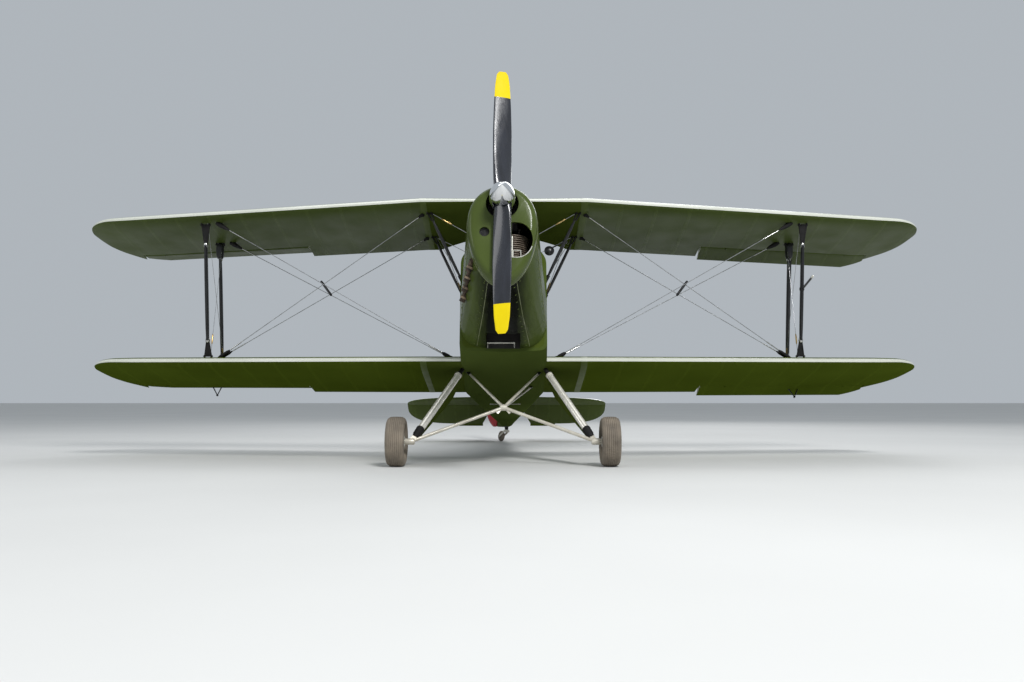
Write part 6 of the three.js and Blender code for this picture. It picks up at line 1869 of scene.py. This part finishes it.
def build_cockpit_fittings():
    for name, _, panel_y, stick_y, ahead in COCKPITS:
        floor = station_at(BODY_STATIONS, stick_y)[1] + WALL
        dials = [dial(x, panel_y + 0.0004, z - DIAL_DROP[name], radius) for x, z, radius in DIALS]
        make(f"dials_{name}", joined(dials), [BRIGHT_STEEL, DIAL_BLACK, DIAL_WHITE])
        stick = rod([(0, stick_y + aft, floor + up) for aft, up in STICK_PATH], 0.0095, 14)
        grip = turned_rows(GRIP_ROWS, (0, stick_y + 0.035, floor + 0.47), (0, 0.06, 1), 24)
        gaiter = turned_rows(GAITER_ROWS, (0, stick_y, floor + 0.004), (0, 0, 1), 28)
        make(f"stick_{name}", stick + (grip + gaiter).marked(1), [BRIGHT_STEEL, BLACK_RUBBER])
        pedals, y, top = [], stick_y - ahead, floor + 0.105
        for x in (0.110, -0.110):
            pedals += [cross_tube((x, y, top), 0.045, 0.011, 18),
                       tube((x, y, floor + 0.004), (x, y, top), 0.007, sides=14)]
        make(f"pedals_{name}", joined(pedals), CREAM_TUBE)
    boards, half = [], BOARDS["half"]
    for k in range(-3, 4):
        x = k * BOARDS["pitch"]
        rows = []
        for y in np.linspace(BOARDS["front"], BOARDS["rear"], 9):
            z = station_at(BODY_STATIONS, y)[1] + WALL + BOARDS["lift"]
            top = z + BOARDS["thickness"]
            rows.append([(x - half, y, z), (x + half, y, z), (x + half, y, top), (x - half, y, top)])
        boards.append(loft(rows))
    make("floor_boards", joined(boards), PLYWOOD)
    tubes = []
    for height in LONGERONS["heights"]:
        for sign in (-1, 1):
            path = []
            for y in np.linspace(LONGERONS["front"], LONGERONS["rear"], 11):
                half, bottom, _ = station_at(BODY_STATIONS, y)
                path.append((sign * (half - WALL - LONGERONS["inset"]), y, bottom + height))
            tubes.append(rod(path, LONGERONS["radius"], 12))
    make("side_longerons", joined(tubes), CREAM_TUBE)

# Nodes that keep their own shape
CARRIED = {
    "aileron_rod_left": BLACK_ENAMEL, "aileron_rod_right": BLACK_ENAMEL, "tail_post": BLACK_RUBBER,
    "tail_fork": CREAM_TUBE, "tail_wheel": TYRE_RUBBER, "panel_front": CRACKLE_BLACK,
    "panel_rear": CRACKLE_BLACK,
}


def paint_carried_nodes():
    for name, material in CARRIED.items():
        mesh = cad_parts[name].data
        mesh.materials.clear()
        mesh.materials.append(material)
        smoothed(mesh)


# Floor, sky and lights: name, place, size and power of each lamp
LAMPS = (("key", (4.5, -13.0, 11.0), 4.0, 2000), ("top", (0.0, 0.0, 9.0), 9.0, 180),
         ("left", (-11.0, -5.0, 6.0), 6.0, 200), ("back", (4.0, 11.0, 8.0), 7.0, 350))
LAMP_TARGET = Vector((0, -0.8, 1.0))
SKY = {"Color": (0.86, 0.93, 1.0, 1), "Strength": 0.50}
FLOOR_REACH = 150


def build_studio():
    floor = Finish("floor_paper")
    floor.colour(floor.mottled(0.35, (0.60, 0.60, 0.585), (0.64, 0.64, 0.625), detail=3))
    floor.uneven_gloss(2.0, (0.75, 0.85), detail=3)
    mesh = bpy.data.meshes.new("floor")
    corners = [(x * FLOOR_REACH, y * FLOOR_REACH, 0) for x, y in ((-1, -1), (1, -1), (1, 1), (-1, 1))]
    mesh.from_pydata(corners, [], [(0, 1, 2, 3)])
    mesh.materials.append(floor.material)
    ground = bpy.data.objects.new("floor", mesh)
    bpy.context.scene.collection.objects.link(ground)
    world = bpy.data.worlds.new("studio")
    world.use_nodes = True
    for socket, value in SKY.items():
        world.node_tree.nodes["Background"].inputs[socket].default_value = value
    bpy.context.scene.world = world
    for name, place, size, power in LAMPS:
        lamp = bpy.data.lights.new(name, "AREA")
        lamp.shape = "DISK"
        lamp.size = size
        lamp.energy = power
        holder = bpy.data.objects.new(name, lamp)
        holder.location = place
        holder.rotation_euler = (LAMP_TARGET - Vector(place)).to_track_quat("-Z", "Y").to_euler()
        bpy.context.scene.collection.objects.link(holder)


for build in (build_wings, build_centre_section, build_joint_strips, build_lower_stubs, build_body,
              build_coamings, build_seats, build_cockpit_fittings, build_rear_body, build_windscreens,
              build_nose, build_engine, build_intake_baffle, build_propeller, build_outlet_bar,
              build_exhaust, build_wheels, build_gear, build_interplane_struts, build_cabanes,
              build_wires, build_spreaders, build_incidence_wires, build_cabane_wires, build_pitot,
              build_mirror, build_tail, build_fin_and_rudder, paint_carried_nodes, build_studio):
    build()
